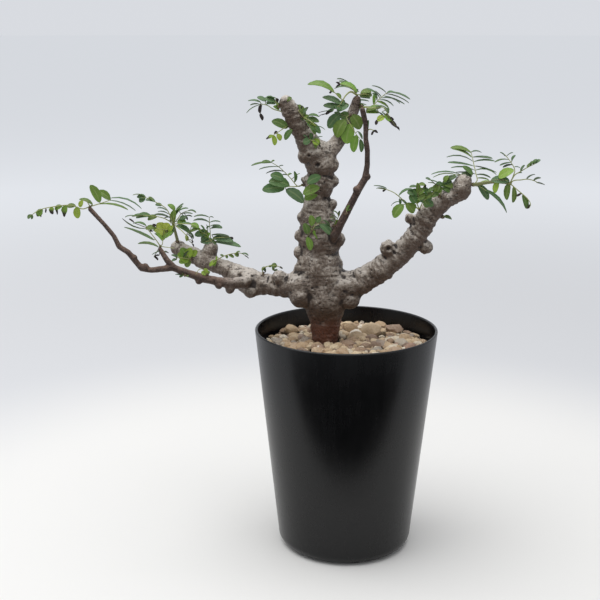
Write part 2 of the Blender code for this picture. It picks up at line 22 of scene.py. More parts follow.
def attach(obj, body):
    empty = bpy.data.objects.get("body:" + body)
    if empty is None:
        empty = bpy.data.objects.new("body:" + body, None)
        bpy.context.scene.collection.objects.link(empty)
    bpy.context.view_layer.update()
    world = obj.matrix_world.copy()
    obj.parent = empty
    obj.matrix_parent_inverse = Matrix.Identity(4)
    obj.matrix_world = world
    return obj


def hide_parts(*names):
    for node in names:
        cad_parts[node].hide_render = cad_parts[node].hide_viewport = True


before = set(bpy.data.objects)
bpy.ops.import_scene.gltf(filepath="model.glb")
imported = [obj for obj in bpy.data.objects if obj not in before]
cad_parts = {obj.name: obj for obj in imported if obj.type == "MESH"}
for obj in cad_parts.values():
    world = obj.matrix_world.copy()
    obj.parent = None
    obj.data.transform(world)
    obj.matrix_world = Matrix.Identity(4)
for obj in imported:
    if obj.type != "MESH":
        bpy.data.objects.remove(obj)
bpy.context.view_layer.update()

bl_info = {
    "name": "Potted senna",
    "version": (1, 0, 0),
    "blender": (4, 5, 0),
    "location": "3D Viewport > Sidebar > Senna",
    "description": "Dresses the solids of a potted senna with bark, leaves, grit and plastic",
    "category": "Object",
}

MM = 0.001
UP = Vector((0, 0, 1))
BODY = "root"

# Limbs that blend into one another, each a run of (x, y, z, radius)
STEM = [(-12, 4, 60, 3), (-12, 4, 90, 5), (-12, 4, 112, 6.5), (-12, 4, 124, 7.4),
        (-12, 4, 130, 8.4), (-12, 4, 137, 9.6), (-12, 3, 142, 10.8), (-12, 2, 149, 13.5),
        (-12, 2, 155, 12.5), (-14, 2, 160, 12.5), (-16, 2, 169, 12.5), (-16, 2, 174, 11.2),
        (-15, 2, 177, 9.2), (-15, 2, 183, 12.4), (-16, 1, 189, 10.8), (-17, 1, 195, 10),
        (-17, 0, 202, 7.8), (-17, 0, 207, 6.4), (-16, 0, 213, 8.2), (-15, 0, 219, 7.2),
        (-15, 0, 226, 9), (-17, 0, 231, 8.2)]
SHOULDER = [(-26, 0, 156, 9.3), (-19, 2, 156, 11.5), (-3, 1, 154, 11)]
LEFT_FORK = [(-18, -1, 231, 8), (-22, -2, 237, 6.5), (-25, -4, 243, 5.4), (-29, -6, 250, 5.2),
             (-32, -8, 256, 4.9), (-34, -9, 259.5, 4)]
RIGHT_FORK = [(-14, 0, 227, 6.5), (-11, 1, 231.5, 5), (-7, 3, 236, 4.2), (-2, 5, 242, 4),
              (1, 6, 249, 3.6), (4, 8, 256, 3), (5, 8, 260, 2.6)]
LEFT_BOUGH = [(-27, 2, 155, 8), (-35, 4, 155, 6.8), (-44, 7, 155, 6), (-51, 9, 155, 6.6),
              (-56, 11, 156, 7.8), (-62, 14, 159, 6), (-67, 17, 161, 4.9), (-74, 20, 163, 4.7),
              (-83, 23, 166, 4.9), (-92, 27, 169, 4.6), (-99, 30, 172, 4.4)]
LEFT_STUB = [(-81, 23, 167, 4.6), (-79, 23, 173, 4.4)]
RIGHT_BOUGH = [(-3, 0, 155, 9.5), (6, -3, 158, 7.6), (16, -6, 164.5, 7), (23, -9, 171, 7),
               (30, -11, 178, 6.3), (36, -13, 185, 6.1), (40, -15, 192, 6), (43, -17, 199, 6),
               (48, -19, 205, 5.6), (54, -21, 210, 5.2), (60, -23, 215, 5.9), (61, -23, 218, 5)]
THICK_LIMBS = [STEM, SHOULDER, LEFT_FORK, RIGHT_FORK, LEFT_BOUGH, LEFT_STUB, RIGHT_BOUGH]

# Knobs on the thick limbs, each (x, y, z, radius)
KNOBS = [(-38, 2, 160, 4.6), (-55, 6, 152, 4.8), (22, -13, 180.5, 4.6), (22, -8, 166, 4.4),
         (43, -13, 181, 4.2), (34, -14, 197, 3.2), (53, -24, 211, 4), (-27, 0, 185, 3.4),
         (-6, -3, 184, 4.8), (-25, 0, 195, 3.4), (-9, 0, 203, 3.4), (-8, 0, 216, 3.4),
         (-23, 0, 216, 3.2), (-9, -2, 225, 4), (-24, -3, 230, 4.4), (-10, 0, 232, 4),
         (-6, 2, 168, 4.2), (-27, 0, 175, 3.6), (-26, 0, 166, 4.2), (-26, -3, 151, 7),
         (1, -3, 150, 6.8)]

# Thin stems and roots, joined on after the thick limbs have blended
LONG_TWIG = [(-55, 10, 156, 3.6), (-59, 0, 158, 3.4), (-65, -8, 159, 3.1), (-72, -11, 161, 2.5),
             (-80, -13, 163, 2.4), (-90, -15, 167, 2.1), (-97, -16, 170, 1.9),
             (-109, -18, 169, 1.6), (-114, -18, 170, 1.7), (-121, -18, 179, 1.6),
             (-126, -17, 182, 1.5), (-129, -16, 188, 1.3), (-134, -15, 194, 1.2),
             (-142, -12, 202, 1.3)]
SIDE_SHOOT = [(-95, -16, 169, 1.6), (-100, -16, 174, 1.7), (-104, -14, 180, 1.3)]
UPRIGHT_TWIG = [(-10, -3, 181, 3), (-7, -9, 187, 2.6), (-4, -11, 194, 2.3), (1, -12, 204, 2),
                (5.5, -12, 213, 2), (9, -12, 219, 1.9), (10, -12, 226, 1.5), (10, -12, 234, 1.5),
                (9, -12, 241, 1.4), (9, -12, 248, 1.5), (7, -12, 256, 1.5)]
TWIG_KNOBS = [(-66, -9, 156, 2.6), (-72, -12, 159, 2.2), (-83, -14, 162, 2.1), (-112, -18, 171, 2),
              (-118, -18, 176, 1.9), (4.5, -13, 213, 2.3), (10, -12, 220, 2.1)]
ROOTS = [[(-12, 4, 104, 3.6), (-26, 7, 90, 2.2), (-32, 12, 62, 1)],
         [(-12, 4, 98, 3.6), (1, -6, 84, 2.2), (10, -12, 52, 1)],
         [(-12, 4, 86, 3), (-9, 15, 72, 1.9), (-6, 22, 40, 1)]]
THIN_LIMBS = [LONG_TWIG, SIDE_SHOOT, UPRIGHT_TWIG] + ROOTS

# Craters where old shoots have dropped, each (x, y, z, radius, depth)
CRATERS = [(22, -18, 181, 1.9, 1.6), (-22, -9, 231, 1.5, 1.3), (-17, -9, 226, 1.6, 1.3)]


# The camera's place. Points of leaves below are read as they look from there
EYE = Vector((-26.6, -611, 301))

# A leaflet from (x, z) to (to_x, to_z): its width, how far its face turns from the sky to the
# camera, its tone from 0, deep green with painted shade, through a painted bluish sheen, to 1,
# yellow green, how much of it from the tip is shrivelled, how far its middle rises as a share of
# its length, and how far its tip comes nearer
Blade = namedtuple("Blade", "x z to_x to_z width tilt tone dry arch nearer", defaults=(0.0, 0.06, 0.0))

# A leaf: the points of its stalk after its start, each (x, z, nearer), its leaflets, each a row of
# values in the order above, where it starts if not at the spur or the end of the shoot, given as
# (x, z) on the wood or (x, z, nearer), the stalk's radius, and how many pairs of plain leaflets it
# ends with, their length, width, droop, tilt and tone
Leaf = namedtuple("Leaf", "path blades start stalk pairs blade width hang tilt tone",
                  defaults=((), None, 0.32, 0, 7, 3.2, 10, 15, 0.4))

# A spray: a point near its spur on the wood, the distance back of the plane that its points are
# measured in, its leaves, and the points of its green shoot after the spur, where it has one,
# with the leaves that grow from the shoot's end
Spray = namedtuple("Spray", "near plane leaves shoot shoot_leaves", defaults=((), ()))

SPRAYS = {
    "leaves_long_twig_tip": Spray((-142, -12, 203), -12, [
        Leaf([(-146.5, 202.2, 1), (-153, 204.3, 3), (-163, 203.3, 5), (-170, 201.6, 6),
              (-175.5, 198, 7)], [
            (-149, 203.4, -149.1, 196.9, 4, 82, 0.82), (-149.9, 204, -154.8, 203.6, 3, 50, 0.5),
            (-155.4, 204.4, -156.6, 197.8, 3.6, 72, 0.7, 0.45),
            (-157.3, 203.9, -161.5, 201.9, 2.8, 55, 0.6),
            (-161, 203.4, -160.3, 198.9, 2, 65, 0.5, 0.7),
            (-163, 203.3, -163, 199.2, 3.4, 75, 0.75, 0.55),
            (-166.5, 202.6, -166.4, 200, 1.2, 60, 0.4, 1),
            (-168.3, 202, -171.6, 197.9, 3.4, 65, 0.6, 0.15),
            (-168.8, 201.9, -169.4, 197.5, 2.2, 70, 0.6, 0.4),
            (-174.4, 198.9, -176.7, 196.8, 2.2, 60, 0.4),
            (-174.6, 199.2, -174.5, 196.4, 1.5, 60, 0.4)]),
        Leaf([(-143.5, 206, 3), (-146, 207, 4)], [
            (-140.5, 204.6, -147.8, 207.6, 3.4, 32, 0.45),
            (-146, 207, -147.6, 203.1, 2.6, 72, 0.85)]),
        Leaf([(-137, 205, 0), (-133, 206.3, -3), (-130.5, 207.2, -6)], [
            (-136.5, 205.8, -141.3, 215.4, 4.9, 76, 0.48),
            (-130.8, 207.4, -137.2, 212.3, 4.3, 74, 0.48),
            (-130.8, 208.2, -113.7, 202.3, 4, 12, 0.3, 0, 0.09),
            (-131, 207, -117, 201.2, 3.6, 3, 0.25, 0, 0.04, 3),
            (-136.8, 204.9, -121.2, 201.7, 4, 18, 0.5, 0, 0.1, 4)])]),
    "leaves_left_bough_end": Spray((-99, 29, 176), 25, [], [(-101, 26, 187)], [
        Leaf([(-102.5, 192, 2), (-105, 196.5, 3), (-110, 199.7, 4), (-116, 202.6, 6),
              (-119, 202.6, 7)], [
            (-104.5, 195.2, -110, 196.6, 3, 6, 0.2), (-103.5, 193.1, -109.7, 194.6, 3, 6, 0.18),
            (-102.5, 190.8, -112, 192.7, 3.6, 8, 0.1), (-102.3, 191.3, -106, 190.9, 3, 5, 0.12),
            (-107.2, 198.2, -111, 198.7, 3, 40, 0.25), (-111, 200.5, -116.6, 201.3, 3.4, 42, 0.3),
            (-112.2, 201, -114.8, 203.2, 2.8, 35, 0.42),
            (-116.4, 202.9, -121.6, 203.2, 3.2, 62, 0.25),
            (-116.7, 202.5, -120.4, 200.3, 3.5, 68, 0.3), (-117, 203.3, -124, 204.3, 2.4, 2, 0.45)]),
        Leaf([(-105, 190, 3), (-110, 191.5, 6), (-118, 192.2, 9), (-125, 191.6, 11)], [
            (-110.3, 191.5, -115.8, 189.7, 3.6, 50, 0.42),
            (-113.8, 192, -122.6, 190.9, 4.4, 42, 0.38), (-118, 192.3, -124.5, 191.7, 3, 12, 0.33),
            (-123, 191.8, -129, 191.2, 2.8, 8, 0.38)]),
        Leaf([(-103, 184, 4), (-106.5, 183.8, 8), (-111, 184.8, 10)], [
            (-104, 182, -110.6, 187.4, 5.4, 78, 0.95), (-105, 181, -112.6, 184.4, 5.2, 76, 0.9),
            (-104, 183, -106.2, 187.8, 5, 78, 0.97), (-104.6, 180.4, -110.2, 181.8, 4.6, 72, 0.85),
            (-111, 184.5, -117.2, 184.4, 3.6, 45, 0.5), (-110.8, 186, -113.2, 186.8, 2.4, 75, 0.5, 1),
            (-113.2, 182.8, -115.4, 183.2, 1.6, 60, 0.5, 1),
            (-107.5, 177.2, -112, 181.6, 1.8, 55, 0.6), (-103.9, 181.2, -101.2, 186.3, 2.6, 70, 0.85),
            (-103.6, 180.2, -100.2, 184.8, 3.4, 70, 0.2),
            (-106, 178.8, -101.4, 182.6, 2.4, 60, 0.6)]),
        Leaf([(-100.4, 191, 0), (-99.8, 195.6, -2)], [
            (-99.6, 195.2, -103.8, 198.7, 3.8, 50, 0.6), (-100.9, 188, -99.8, 195.7, 3.8, 72, 0.55),
            (-99.3, 194.8, -95.8, 197, 2.8, 15, 0.45)]),
        Leaf([(-98, 190.5, -1), (-95.5, 193.6, -4), (-90.5, 195.2, -7), (-87.3, 193.9, -9)], [
            (-98.6, 188.2, -93.4, 188.8, 4, 68, 0.6), (-97.2, 190, -93, 191.1, 3.4, 55, 0.15),
            (-97.4, 194.8, -91.8, 196.5, 3, 8, 0.38), (-95.4, 193.2, -89.3, 193.2, 3, 8, 0.38),
            (-92, 195.2, -87.3, 194.2, 2.8, 8, 0.28), (-94.4, 191.6, -89.6, 191.6, 2.6, 5, 0.18),
            (-93.4, 191.8, -92.5, 189.4, 1.6, 45, 0.1)]),
        Leaf([(-95, 187.3, 4), (-91, 187, 7), (-87, 185.8, 9)], [
            (-97, 187.2, -90, 187.3, 2.6, 25, 0.3), (-90.6, 187.2, -85.8, 185.2, 3.6, 48, 0.6),
            (-91.3, 182.3, -85.8, 184.5, 2.8, 35, 0.5)]),
        Leaf([(-96.5, 183.6, 6), (-93.5, 180.3, 9), (-93.2, 178.5, 10)], [
            (-98.8, 186.4, -90.8, 181, 3.8, 55, 0.35), (-93.6, 180.5, -93.1, 176.9, 2.4, 60, 0.8),
            (-92.3, 181, -89.9, 177.2, 2, 25, 0.1, 0.5), (-91.5, 182.4, -89.2, 178.4, 2, 25, 0.1),
            (-90.1, 177.4, -89.8, 175.6, 1.5, 60, 0.1, 1),
            (-89.9, 175.4, -89.1, 173.6, 1.3, 60, 0.1, 1)]),
        Leaf([(-100, 191, -5), (-99, 194, -10)], [], pairs=4, blade=9, width=3.2)]),
    "leaves_left_stub": Spray((-79, 22, 178), 25, [
        Leaf([(-79.3, 182, 0), (-79.6, 187, 1), (-79.7, 191.3, 2)], [
            (-79.7, 191.2, -88.8, 191.5, 3.6, 5, 0.2), (-79.7, 191.2, -77.2, 191, 2.6, 5, 0.25),
            (-79.6, 188.1, -89.1, 189.3, 3.8, 10, 0.25), (-79.6, 188.1, -73.1, 188.4, 3.6, 8, 0.28),
            (-79.5, 185.8, -81.6, 184.4, 2, 20, 0.4), (-79.5, 185.9, -75.7, 186.7, 2.4, 5, 0.4),
            (-78.8, 184.6, -72.1, 184.9, 4, 26, 0.28)]),
        Leaf([(-76.5, 178.8, 3), (-71, 179.3, 6)], [
            (-77.8, 178.8, -65.8, 176.8, 4.6, 62, 0.22), (-78.4, 180.8, -68.2, 179.9, 3, 20, 0.12),
            (-76.6, 176.6, -61.4, 173.6, 4.4, 42, 0.33),
            (-67.8, 179.4, -65.7, 178.2, 2, 60, 0.3, 1)]),
        Leaf([(-80, 177, 3), (-82, 176.6, 5)], [
            (-75.8, 175.6, -85.2, 176.6, 4.6, 66, 0.25)]),
        Leaf([(-81, 180.5, 3), (-84, 182, 5)], [
            (-81.8, 181.4, -88.5, 180.7, 4.2, 62, 0.25), (-80.4, 179.6, -85.5, 183.4, 4.4, 70, 0.48),
            (-82, 178.4, -79.7, 182, 2.8, 60, 0.6), (-81, 180, -84.8, 177.4, 3.2, 62, 0.18),
            (-84.3, 182.4, -90.2, 185.6, 2.6, 30, 0.5), (-82.5, 182.4, -84.8, 186.6, 1.8, 25, 0.3),
            (-81, 182.6, -81.6, 187, 1.6, 25, 0.3)])]),
    "leaves_side_shoot": Spray((-104, -14, 181), -15, [
        Leaf([(-105, 184, 1), (-108.5, 189, 2), (-111.3, 192.4, 3)], [
            (-111.3, 191.8, -123.9, 197.4, 3.6, 4, 0.12, 0.15, -0.12),
            (-111, 193.4, -118.2, 194.7, 3.6, 22, 0.42),
            (-117.6, 194.9, -120.6, 197.2, 1.8, 45, 0.2, 1),
            (-107, 185.4, -123.2, 192.6, 4.6, 24, 0.42, 0, 0.03),
            (-104.6, 181.4, -116, 183.4, 4, 15, 0.42), (-103.4, 179.2, -108.4, 177.2, 2.4, 12, 0.33),
            (-102.4, 178.8, -99.1, 178.1, 2, 20, 0.2, 0.5),
            (-104.4, 176.9, -107.7, 175.7, 2, 40, 0.2, 1),
            (-107.3, 176.1, -104.9, 174.2, 2, 40, 0.2, 1)]),
        Leaf([(-100, 181.3, 0), (-96, 180.8, 0)], [], stalk=0.26),
        Leaf([(-102.6, 183, 0), (-102, 186.3, 0)], [
            (-102.3, 185, -105.6, 189.6, 2, 50, 0.6), (-102, 185.5, -99.3, 189.2, 2.2, 50, 0.55)])]),
    "leaves_left_bough_mid": Spray((-91, 20, 167), 25, [
        Leaf([(-93.5, 169, 5), (-95, 170.5, 7)], [
            (-92.3, 164.4, -98.6, 169.6, 5.4, 76, 0.72), (-93, 166, -96.7, 172.9, 5, 76, 0.58),
            (-92.3, 167, -90.9, 173, 4.6, 76, 0.78), (-91.5, 165.6, -94.2, 161.4, 4.2, 72, 0.5),
            (-92, 166, -98.2, 164.2, 4.2, 72, 0.68), (-90, 167.5, -87.6, 171.6, 3.4, 74, 0.72),
            (-95.6, 167, -92.2, 171.2, 1.2, 60, 0.02, 0, 0.05, 2)]),
        Leaf([(-97, 167, 6), (-99.6, 166.8, 7)], [
            (-99.4, 167.4, -102.6, 168.7, 2, 42, 0.2), (-99.4, 166, -102.5, 164.9, 2.2, 42, 0.25),
            (-99.4, 166.6, -100, 169.1, 1.6, 60, 0.3)])]),
    "leaves_left_bough_back": Spray((-77, 15, 166), 25, [
        Leaf([(-73.5, 167, 9), (-70, 168.5, 9), (-65.5, 169.6, 8), (-61.5, 169.7, 8),
              (-58.3, 168, 7)], [
            (-71.5, 167.9, -73.7, 168.8, 1.8, 30, 0.4), (-70.5, 168.2, -69.4, 166.6, 2, 50, 0.5),
            (-68.6, 168.7, -65.6, 167.2, 2.2, 42, 0.42), (-65.2, 169.5, -62.8, 167.8, 2.8, 60, 0.55),
            (-64.6, 169.7, -61.9, 170.9, 1.8, 20, 0.5), (-61, 169.6, -57, 168.3, 2, 12, 0.38),
            (-59, 168.3, -57, 166.5, 1.8, 30, 0.3, 1)]),
        Leaf([(-77.5, 164.8, 10)], [
            (-76, 165.5, -80.2, 161.9, 2.4, 60, 0.8), (-76.3, 165, -77.6, 161.9, 2.2, 60, 0.7),
            (-76, 165.6, -75.4, 168, 1.8, 40, 0.7)])]),
    "leaves_front_branch": Spray((-78, -13, 166), -15, [
        Leaf([(-80.3, 168.7, 1), (-82.6, 168.7, 2), (-84.5, 166, 2)], [], stalk=0.24),
        Leaf([(-79, 166.8, 1)], [
            (-78.4, 165.9, -81.4, 167.4, 2.8, 70, 0.8), (-78.8, 166.2, -79.2, 169.5, 2.6, 70, 0.75),
            (-78.5, 165.6, -80.7, 164.9, 2.4, 70, 0.7), (-78, 166, -76.5, 167.7, 2, 60, 0.5)])]),
    "leaves_front_branch_low": Spray((-90, -17, 166), -15, [
        Leaf([(-92, 165.3, 1)], [
            (-92, 165.6, -95.9, 166, 2, 22, 0.2), (-91.5, 165.4, -93.7, 164.5, 1.8, 40, 0.38),
            (-90.5, 165.6, -88.5, 165, 2, 50, 0.5), (-91, 165.5, -92.1, 167.2, 1.6, 40, 0.5)])]),
    "leaves_left_bough_top": Spray((-48, 6, 163), 6, [
        Leaf([(-48, 164.6, 1), (-45.5, 165.9, 2), (-42, 166.4, 3), (-39, 165.9, 3), (-37.2, 165, 3)], [
            (-48.6, 163.6, -46.2, 165.4, 2.2, 50, 0.4), (-47, 165.2, -46.7, 162.1, 1.6, 50, 0.1, 0.4),
            (-44.6, 166, -42.8, 165.9, 1.8, 50, 0.25), (-43, 166.8, -39.8, 165.9, 3, 62, 0.5),
            (-42.4, 165.8, -41.8, 163.4, 1.6, 60, 0.45), (-41.6, 163.4, -39.4, 163.9, 1.3, 45, 0.1),
            (-38.4, 165.7, -36.5, 164.6, 1.6, 55, 0.2, 1)])]),
    "leaves_crown_left_tip": Spray((-36, -9, 258), -9, [
        Leaf([(-41, 256.2, 2), (-44, 258.1, 3), (-47.6, 259, 4)], [
            (-48, 260, -54.7, 260.7, 3.8, 20, 0.28), (-48.4, 258.8, -53.6, 258.4, 2.4, 8, 0.38),
            (-48.4, 258.5, -55.6, 254.2, 1.8, 3, 0.4), (-45, 260.6, -49.7, 262.6, 3.6, 42, 0.25),
            (-45, 258.8, -40.2, 258.9, 2.4, 20, 0.4), (-47.8, 258.8, -48.2, 253.8, 3, 80, 0.3, 1),
            (-48.2, 253.9, -46.9, 250.4, 3, 80, 0.3, 1)], start=(-37.7, 254.6)),
        Leaf([(-39, 259.4, 2), (-41.5, 260.6, 3)], [
            (-40, 260.3, -45.8, 261.7, 4.2, 55, 0.25), (-39.5, 259.5, -44.8, 259.7, 3.2, 40, 0.3),
            (-39.4, 262, -44.4, 262.8, 2.8, 10, 0.35), (-38.4, 260, -39.6, 261.9, 2.6, 60, 0.3, 1),
            (-37.8, 256, -41, 257.8, 2.6, 50, 0.65), (-37.8, 257, -39.6, 259.4, 2.4, 50, 0.65)]),
        Leaf([(-33.4, 261, 3)], [
            (-33.8, 260.5, -31.1, 262.4, 2.4, 50, 0.48),
            (-34, 260.5, -33.2, 262.3, 2.2, 50, 0.55)], start=(-33.5, 259.5)),
        Leaf([(-40, 260, -4), (-44, 262, -9)], [], pairs=4, blade=6, width=3)]),
    "leaves_crown_left_low": Spray((-34, -8, 247), -9, [
        Leaf([(-34.6, 246.2, 2)], [
            (-33.2, 246.2, -41.9, 249.9, 5, 72, 0.38)]),
        Leaf([(-31, 245.2, 3)], [
            (-31, 245.4, -34.8, 239.7, 3.4, 70, 0.38)], start=(-30.4, 246.2)),
        Leaf([(-36.5, 245.2, 2), (-38.6, 243.8, 3), (-41, 242.2, 4)], [
            (-39, 243, -37.3, 239.2, 3, 75, 0.88), (-41.2, 242.2, -40.3, 236.7, 2.8, 75, 0.85),
            (-38.6, 243.9, -40.9, 243.2, 2.6, 75, 0.3, 1),
            (-41, 242, -44.9, 240.2, 2, 60, 0.85, 0.45)])]),
    "leaves_crown_side": Spray((-26, -9, 252), -9, [
        Leaf([(-26, 253.6, 3), (-27.5, 255.5, 4)], [
            (-24.8, 250.4, -29.8, 259.2, 4, 58, 0.3), (-24.5, 251.4, -27.4, 258.7, 3.6, 60, 0.42),
            (-25, 250.2, -30.8, 257.6, 3, 40, 0.1), (-25, 250, -30.4, 254.6, 2, 40, 0.05),
            (-24.8, 253.8, -22.2, 257.4, 2, 50, 0.18, 0.25),
            (-26, 256.3, -25.2, 258.1, 1.6, 50, 0.1, 0.8)]),
        Leaf([(-23.5, 251.3, 3), (-20.5, 249.5, 5), (-18.5, 247.8, 6)], [
            (-25, 252.4, -21.8, 250.8, 3.4, 60, 0.68), (-22.3, 252.8, -16.2, 252.2, 2.8, 28, 0.33),
            (-23.8, 250.5, -16.2, 249.5, 4, 48, 0.42), (-23.4, 249.8, -17.4, 246.9, 2, 45, 0.75),
            (-22.8, 248.9, -15.4, 243.3, 4.4, 50, 0.36), (-21.5, 247.6, -18.2, 242.7, 2.8, 50, 0.38),
            (-18, 247.2, -13, 245.1, 1.8, 3, 0.38)])]),
    "leaves_crown_inner": Spray((-22, -9, 240), -9, [
        Leaf([(-20.5, 239.6, 3), (-18.5, 239.2, 4)], [
            (-22.3, 239.8, -24.9, 242.6, 1.8, 35, 0.3), (-21, 239.5, -24.8, 237.8, 4, 66, 0.3),
            (-20.6, 239.6, -20.8, 243.5, 2.2, 50, 0.33), (-20, 240, -14.4, 241.6, 1.8, 8, 0.28),
            (-19.8, 239.2, -15.7, 237.2, 4, 72, 0.8, 0.12),
            (-16.4, 237, -15.2, 235.9, 1.8, 60, 0.3, 1), (-19, 238, -17.9, 235.2, 2.2, 60, 0.5)])]),
    "leaves_crown_right_tip": Spray((5, 8, 262), 5, [
        Leaf([(1.5, 264.6, 2), (-1.2, 262.8, 4), (-3, 260, 5)], [], stalk=0.6),
        Leaf([(-5.4, 262.2, 6), (-8, 264.6, 7), (-10, 265.8, 8)], [
            (-7.6, 264.2, -22.4, 268.7, 4.8, 42, 0.58, 0, 0.14),
            (-9, 265, -10.4, 263.7, 1.9, 60, 0.3, 1),
            (-4, 261, -6.6, 263.8, 2.4, 50, 0.55)], start=(-3, 260, 5)),
        Leaf([(2, 266.5, 2), (-1, 267.8, 3)], [
            (5, 264.4, -5.1, 268.7, 4.8, 42, 0.6, 0, 0.16),
            (-4.4, 268.6, -6.8, 269.9, 1.7, 50, 0.3, 1), (-4.6, 268.5, -6.9, 267.2, 1.7, 50, 0.3, 1),
            (3, 265.6, -7.7, 266.4, 2.8, 8, 0.35)]),
        Leaf([(-4.5, 257.5, 6), (-6, 256.5, 7)], [
            (-3.4, 257.7, -14.2, 261.7, 4, 52, 0.2, 0, 0.08), (-4, 256, -13.7, 257.2, 4, 55, 0.24),
            (0.4, 257.6, -6.2, 254.2, 5, 64, 0.27), (-3.2, 254.3, -7.8, 257.2, 3.6, 60, 0.3),
            (-2, 260, -4.2, 256.4, 3, 60, 0.35), (-8, 255, -12.4, 252.1, 3, 68, 0.3, 0.75),
            (-8.5, 254.6, -16.6, 253.3, 1.8, 3, 0.3, 0.35),
            (-11.8, 252.6, -16.2, 251.2, 1.3, 10, 0.1, 1)], start=(-3, 260, 5)),
        Leaf([(8.5, 263.4, 1), (11.5, 263, 1)], [
            (6.6, 262.8, 13.2, 262.7, 4.2, 58, 0.42), (6.8, 264.2, 12.8, 264.5, 3.4, 42, 0.48),
            (6.6, 261.8, 12.2, 261.2, 3, 40, 0.3), (4.4, 260, 11.5, 259.5, 2.6, 20, 0.3, 0, 0.06, 2),
            (4, 258.2, 10.2, 257.5, 2.2, 20, 0.65, 0, 0.06, 2),
            (4.4, 256.3, 9.5, 256, 3.2, 52, 0.5, 0, 0.06, 2)]),
        Leaf([(3, 266, -4), (0, 269, -10)], [], pairs=4, blade=8, width=3.4)]),
    "leaves_crown_right_front": Spray((1, 3, 252), 5, [
        Leaf([(-0.8, 250.5, 5), (1.5, 246.6, 7), (4.5, 241.6, 8), (6.8, 238.8, 8)], [
            (-4.4, 252.6, -10.9, 244.8, 5.8, 76, 0.28), (-1.5, 249.6, -6.2, 239.6, 7.2, 80, 0.52),
            (1.5, 247, -0.6, 236.1, 7.6, 80, 0.6), (1.8, 252, 6.8, 244.2, 6.8, 78, 0.45),
            (1, 252, -4.6, 250.8, 4.6, 70, 0.45), (-3.4, 252, -7.7, 253.3, 2.4, 35, 0.15),
            (5, 240.9, 3.2, 231.4, 4.6, 80, 0.62), (7, 238.6, 7.7, 231.4, 2.8, 74, 0.33),
            (5.6, 243, 8.1, 238.8, 1.7, 45, 0.2)])]),
    "leaves_upright_twig_tip": Spray((7, -12, 257), -12, [
        Leaf([(12, 258, -3), (16, 261.8, -7), (19, 264.3, -11), (21, 265.6, -13)], [
            (19.6, 265.2, 11.9, 268.9, 3.4, 6, 0.18),
            (20.6, 265.6, 32.6, 261.6, 3.8, 6, 0.18, 0, 0.09),
            (20, 265.2, 24.4, 265.1, 3.4, 20, 0.28), (19.4, 264.6, 32, 259.7, 3.6, 5, 0.18),
            (18.4, 263.5, 29.7, 259.1, 3.6, 5, 0.18), (17, 262.3, 27.2, 259.4, 3.4, 5, 0.22),
            (16.4, 261.5, 23.7, 258.1, 3, 5, 0.25), (15, 260.6, 21.6, 256.1, 3.6, 25, 0.5),
            (16.4, 262.3, 8.9, 267.5, 3.2, 5, 0.28), (17, 263, 13.7, 266.2, 2.8, 10, 0.28),
            (14.8, 261, 12.2, 265, 2.4, 20, 0.38), (13, 259, 12.8, 263.8, 2.2, 40, 0.6)]),
        Leaf([(11.5, 256.8, 1), (16, 257.6, 3), (19, 256.8, 4), (20.6, 254, 5)], [
            (9, 255.5, 17.2, 257.6, 4.2, 32, 0.5), (9, 254.7, 16.2, 254.6, 3.6, 38, 0.58),
            (14, 257.6, 19.8, 257.2, 2.8, 10, 0.28), (18.6, 257.2, 21.2, 254.2, 2.4, 42, 0.2),
            (15.5, 254.8, 18.9, 251.9, 2, 12, 0.18), (17.5, 254.9, 20.7, 251.7, 2, 12, 0.22),
            (19, 253.6, 20.7, 250.3, 2.2, 42, 0.7), (19.2, 252.8, 22.4, 250.2, 3.2, 52, 0.6),
            (21.2, 250.7, 25.7, 246.7, 3.8, 62, 0.3, 1), (24.9, 247.3, 27.4, 245.1, 1.9, 60, 0.3, 1),
            (21.6, 252, 24, 250.7, 1.9, 60, 0.3, 1), (19, 252.4, 14.9, 250.2, 3.4, 72, 0.85),
            (15.4, 250.7, 14.2, 248.1, 2.8, 70, 0.3, 1)]),
        Leaf([(11, 245.7, 1), (13.3, 245.1, 2)], [
            (13, 245.1, 15.6, 243.9, 2.2, 60, 0.2, 1), (13.3, 245, 12.1, 242.6, 1.8, 60, 0.2, 1),
            (10, 246, 10.4, 250.6, 2.4, 55, 0.33)], start=(9.3, 244.6))]),
    "leaves_trunk_left": Spray((-30, -3, 211), -5, [
        Leaf([(-28, 213.8, 2), (-31.5, 217.8, 2), (-35, 221.5, 1), (-38.5, 224.6, 0),
              (-42.5, 227, -1)], [
            (-42.4, 226.9, -48, 226.8, 3.2, 28, 0.45),
            (-42.8, 227, -53.5, 225.2, 3, 8, 0.38, 0, 0.08),
            (-42.5, 227, -40.6, 228.1, 2.2, 12, 0.38),
            (-38.6, 224.6, -49.2, 223.1, 3.2, 4, 0.28, 0, 0.08),
            (-38.5, 224.6, -35.8, 225.3, 2.2, 4, 0.38),
            (-35.6, 222, -45.4, 220.9, 3.4, 8, 0.08, 0, 0.08),
            (-33.4, 219.8, -31.1, 220.8, 1.8, 30, 0.6), (-33.8, 220, -37, 219.6, 2, 20, 0.3),
            (-29.6, 215.8, -29.7, 222.1, 2.2, 45, 0.33), (-29.6, 219, -26.6, 220.9, 1.2, 3, 0.5)]),
        Leaf([(-28.5, 213.6, 3), (-32.5, 213.6, 4), (-35.4, 213, 4)], [
            (-32.4, 214.2, -43.9, 216.4, 6.2, 76, 0.33), (-35.2, 212.6, -47.5, 211.8, 6, 76, 0.33),
            (-35.6, 217.3, -42.9, 220.2, 5, 70, 0.37), (-34.4, 212, -24.6, 204.8, 6.2, 74, 0.2)])]),
    "leaves_trunk_face": Spray((-21, -9, 208), -5, [
        Leaf([(-20.5, 211, 5)], [
            (-24.9, 209.3, -15.8, 213.2, 5.4, 80, 0.55), (-24.2, 206.4, -16.8, 209.6, 4.8, 80, 0.58),
            (-22.6, 215.6, -15.2, 219.4, 4.8, 76, 0.28)])]),
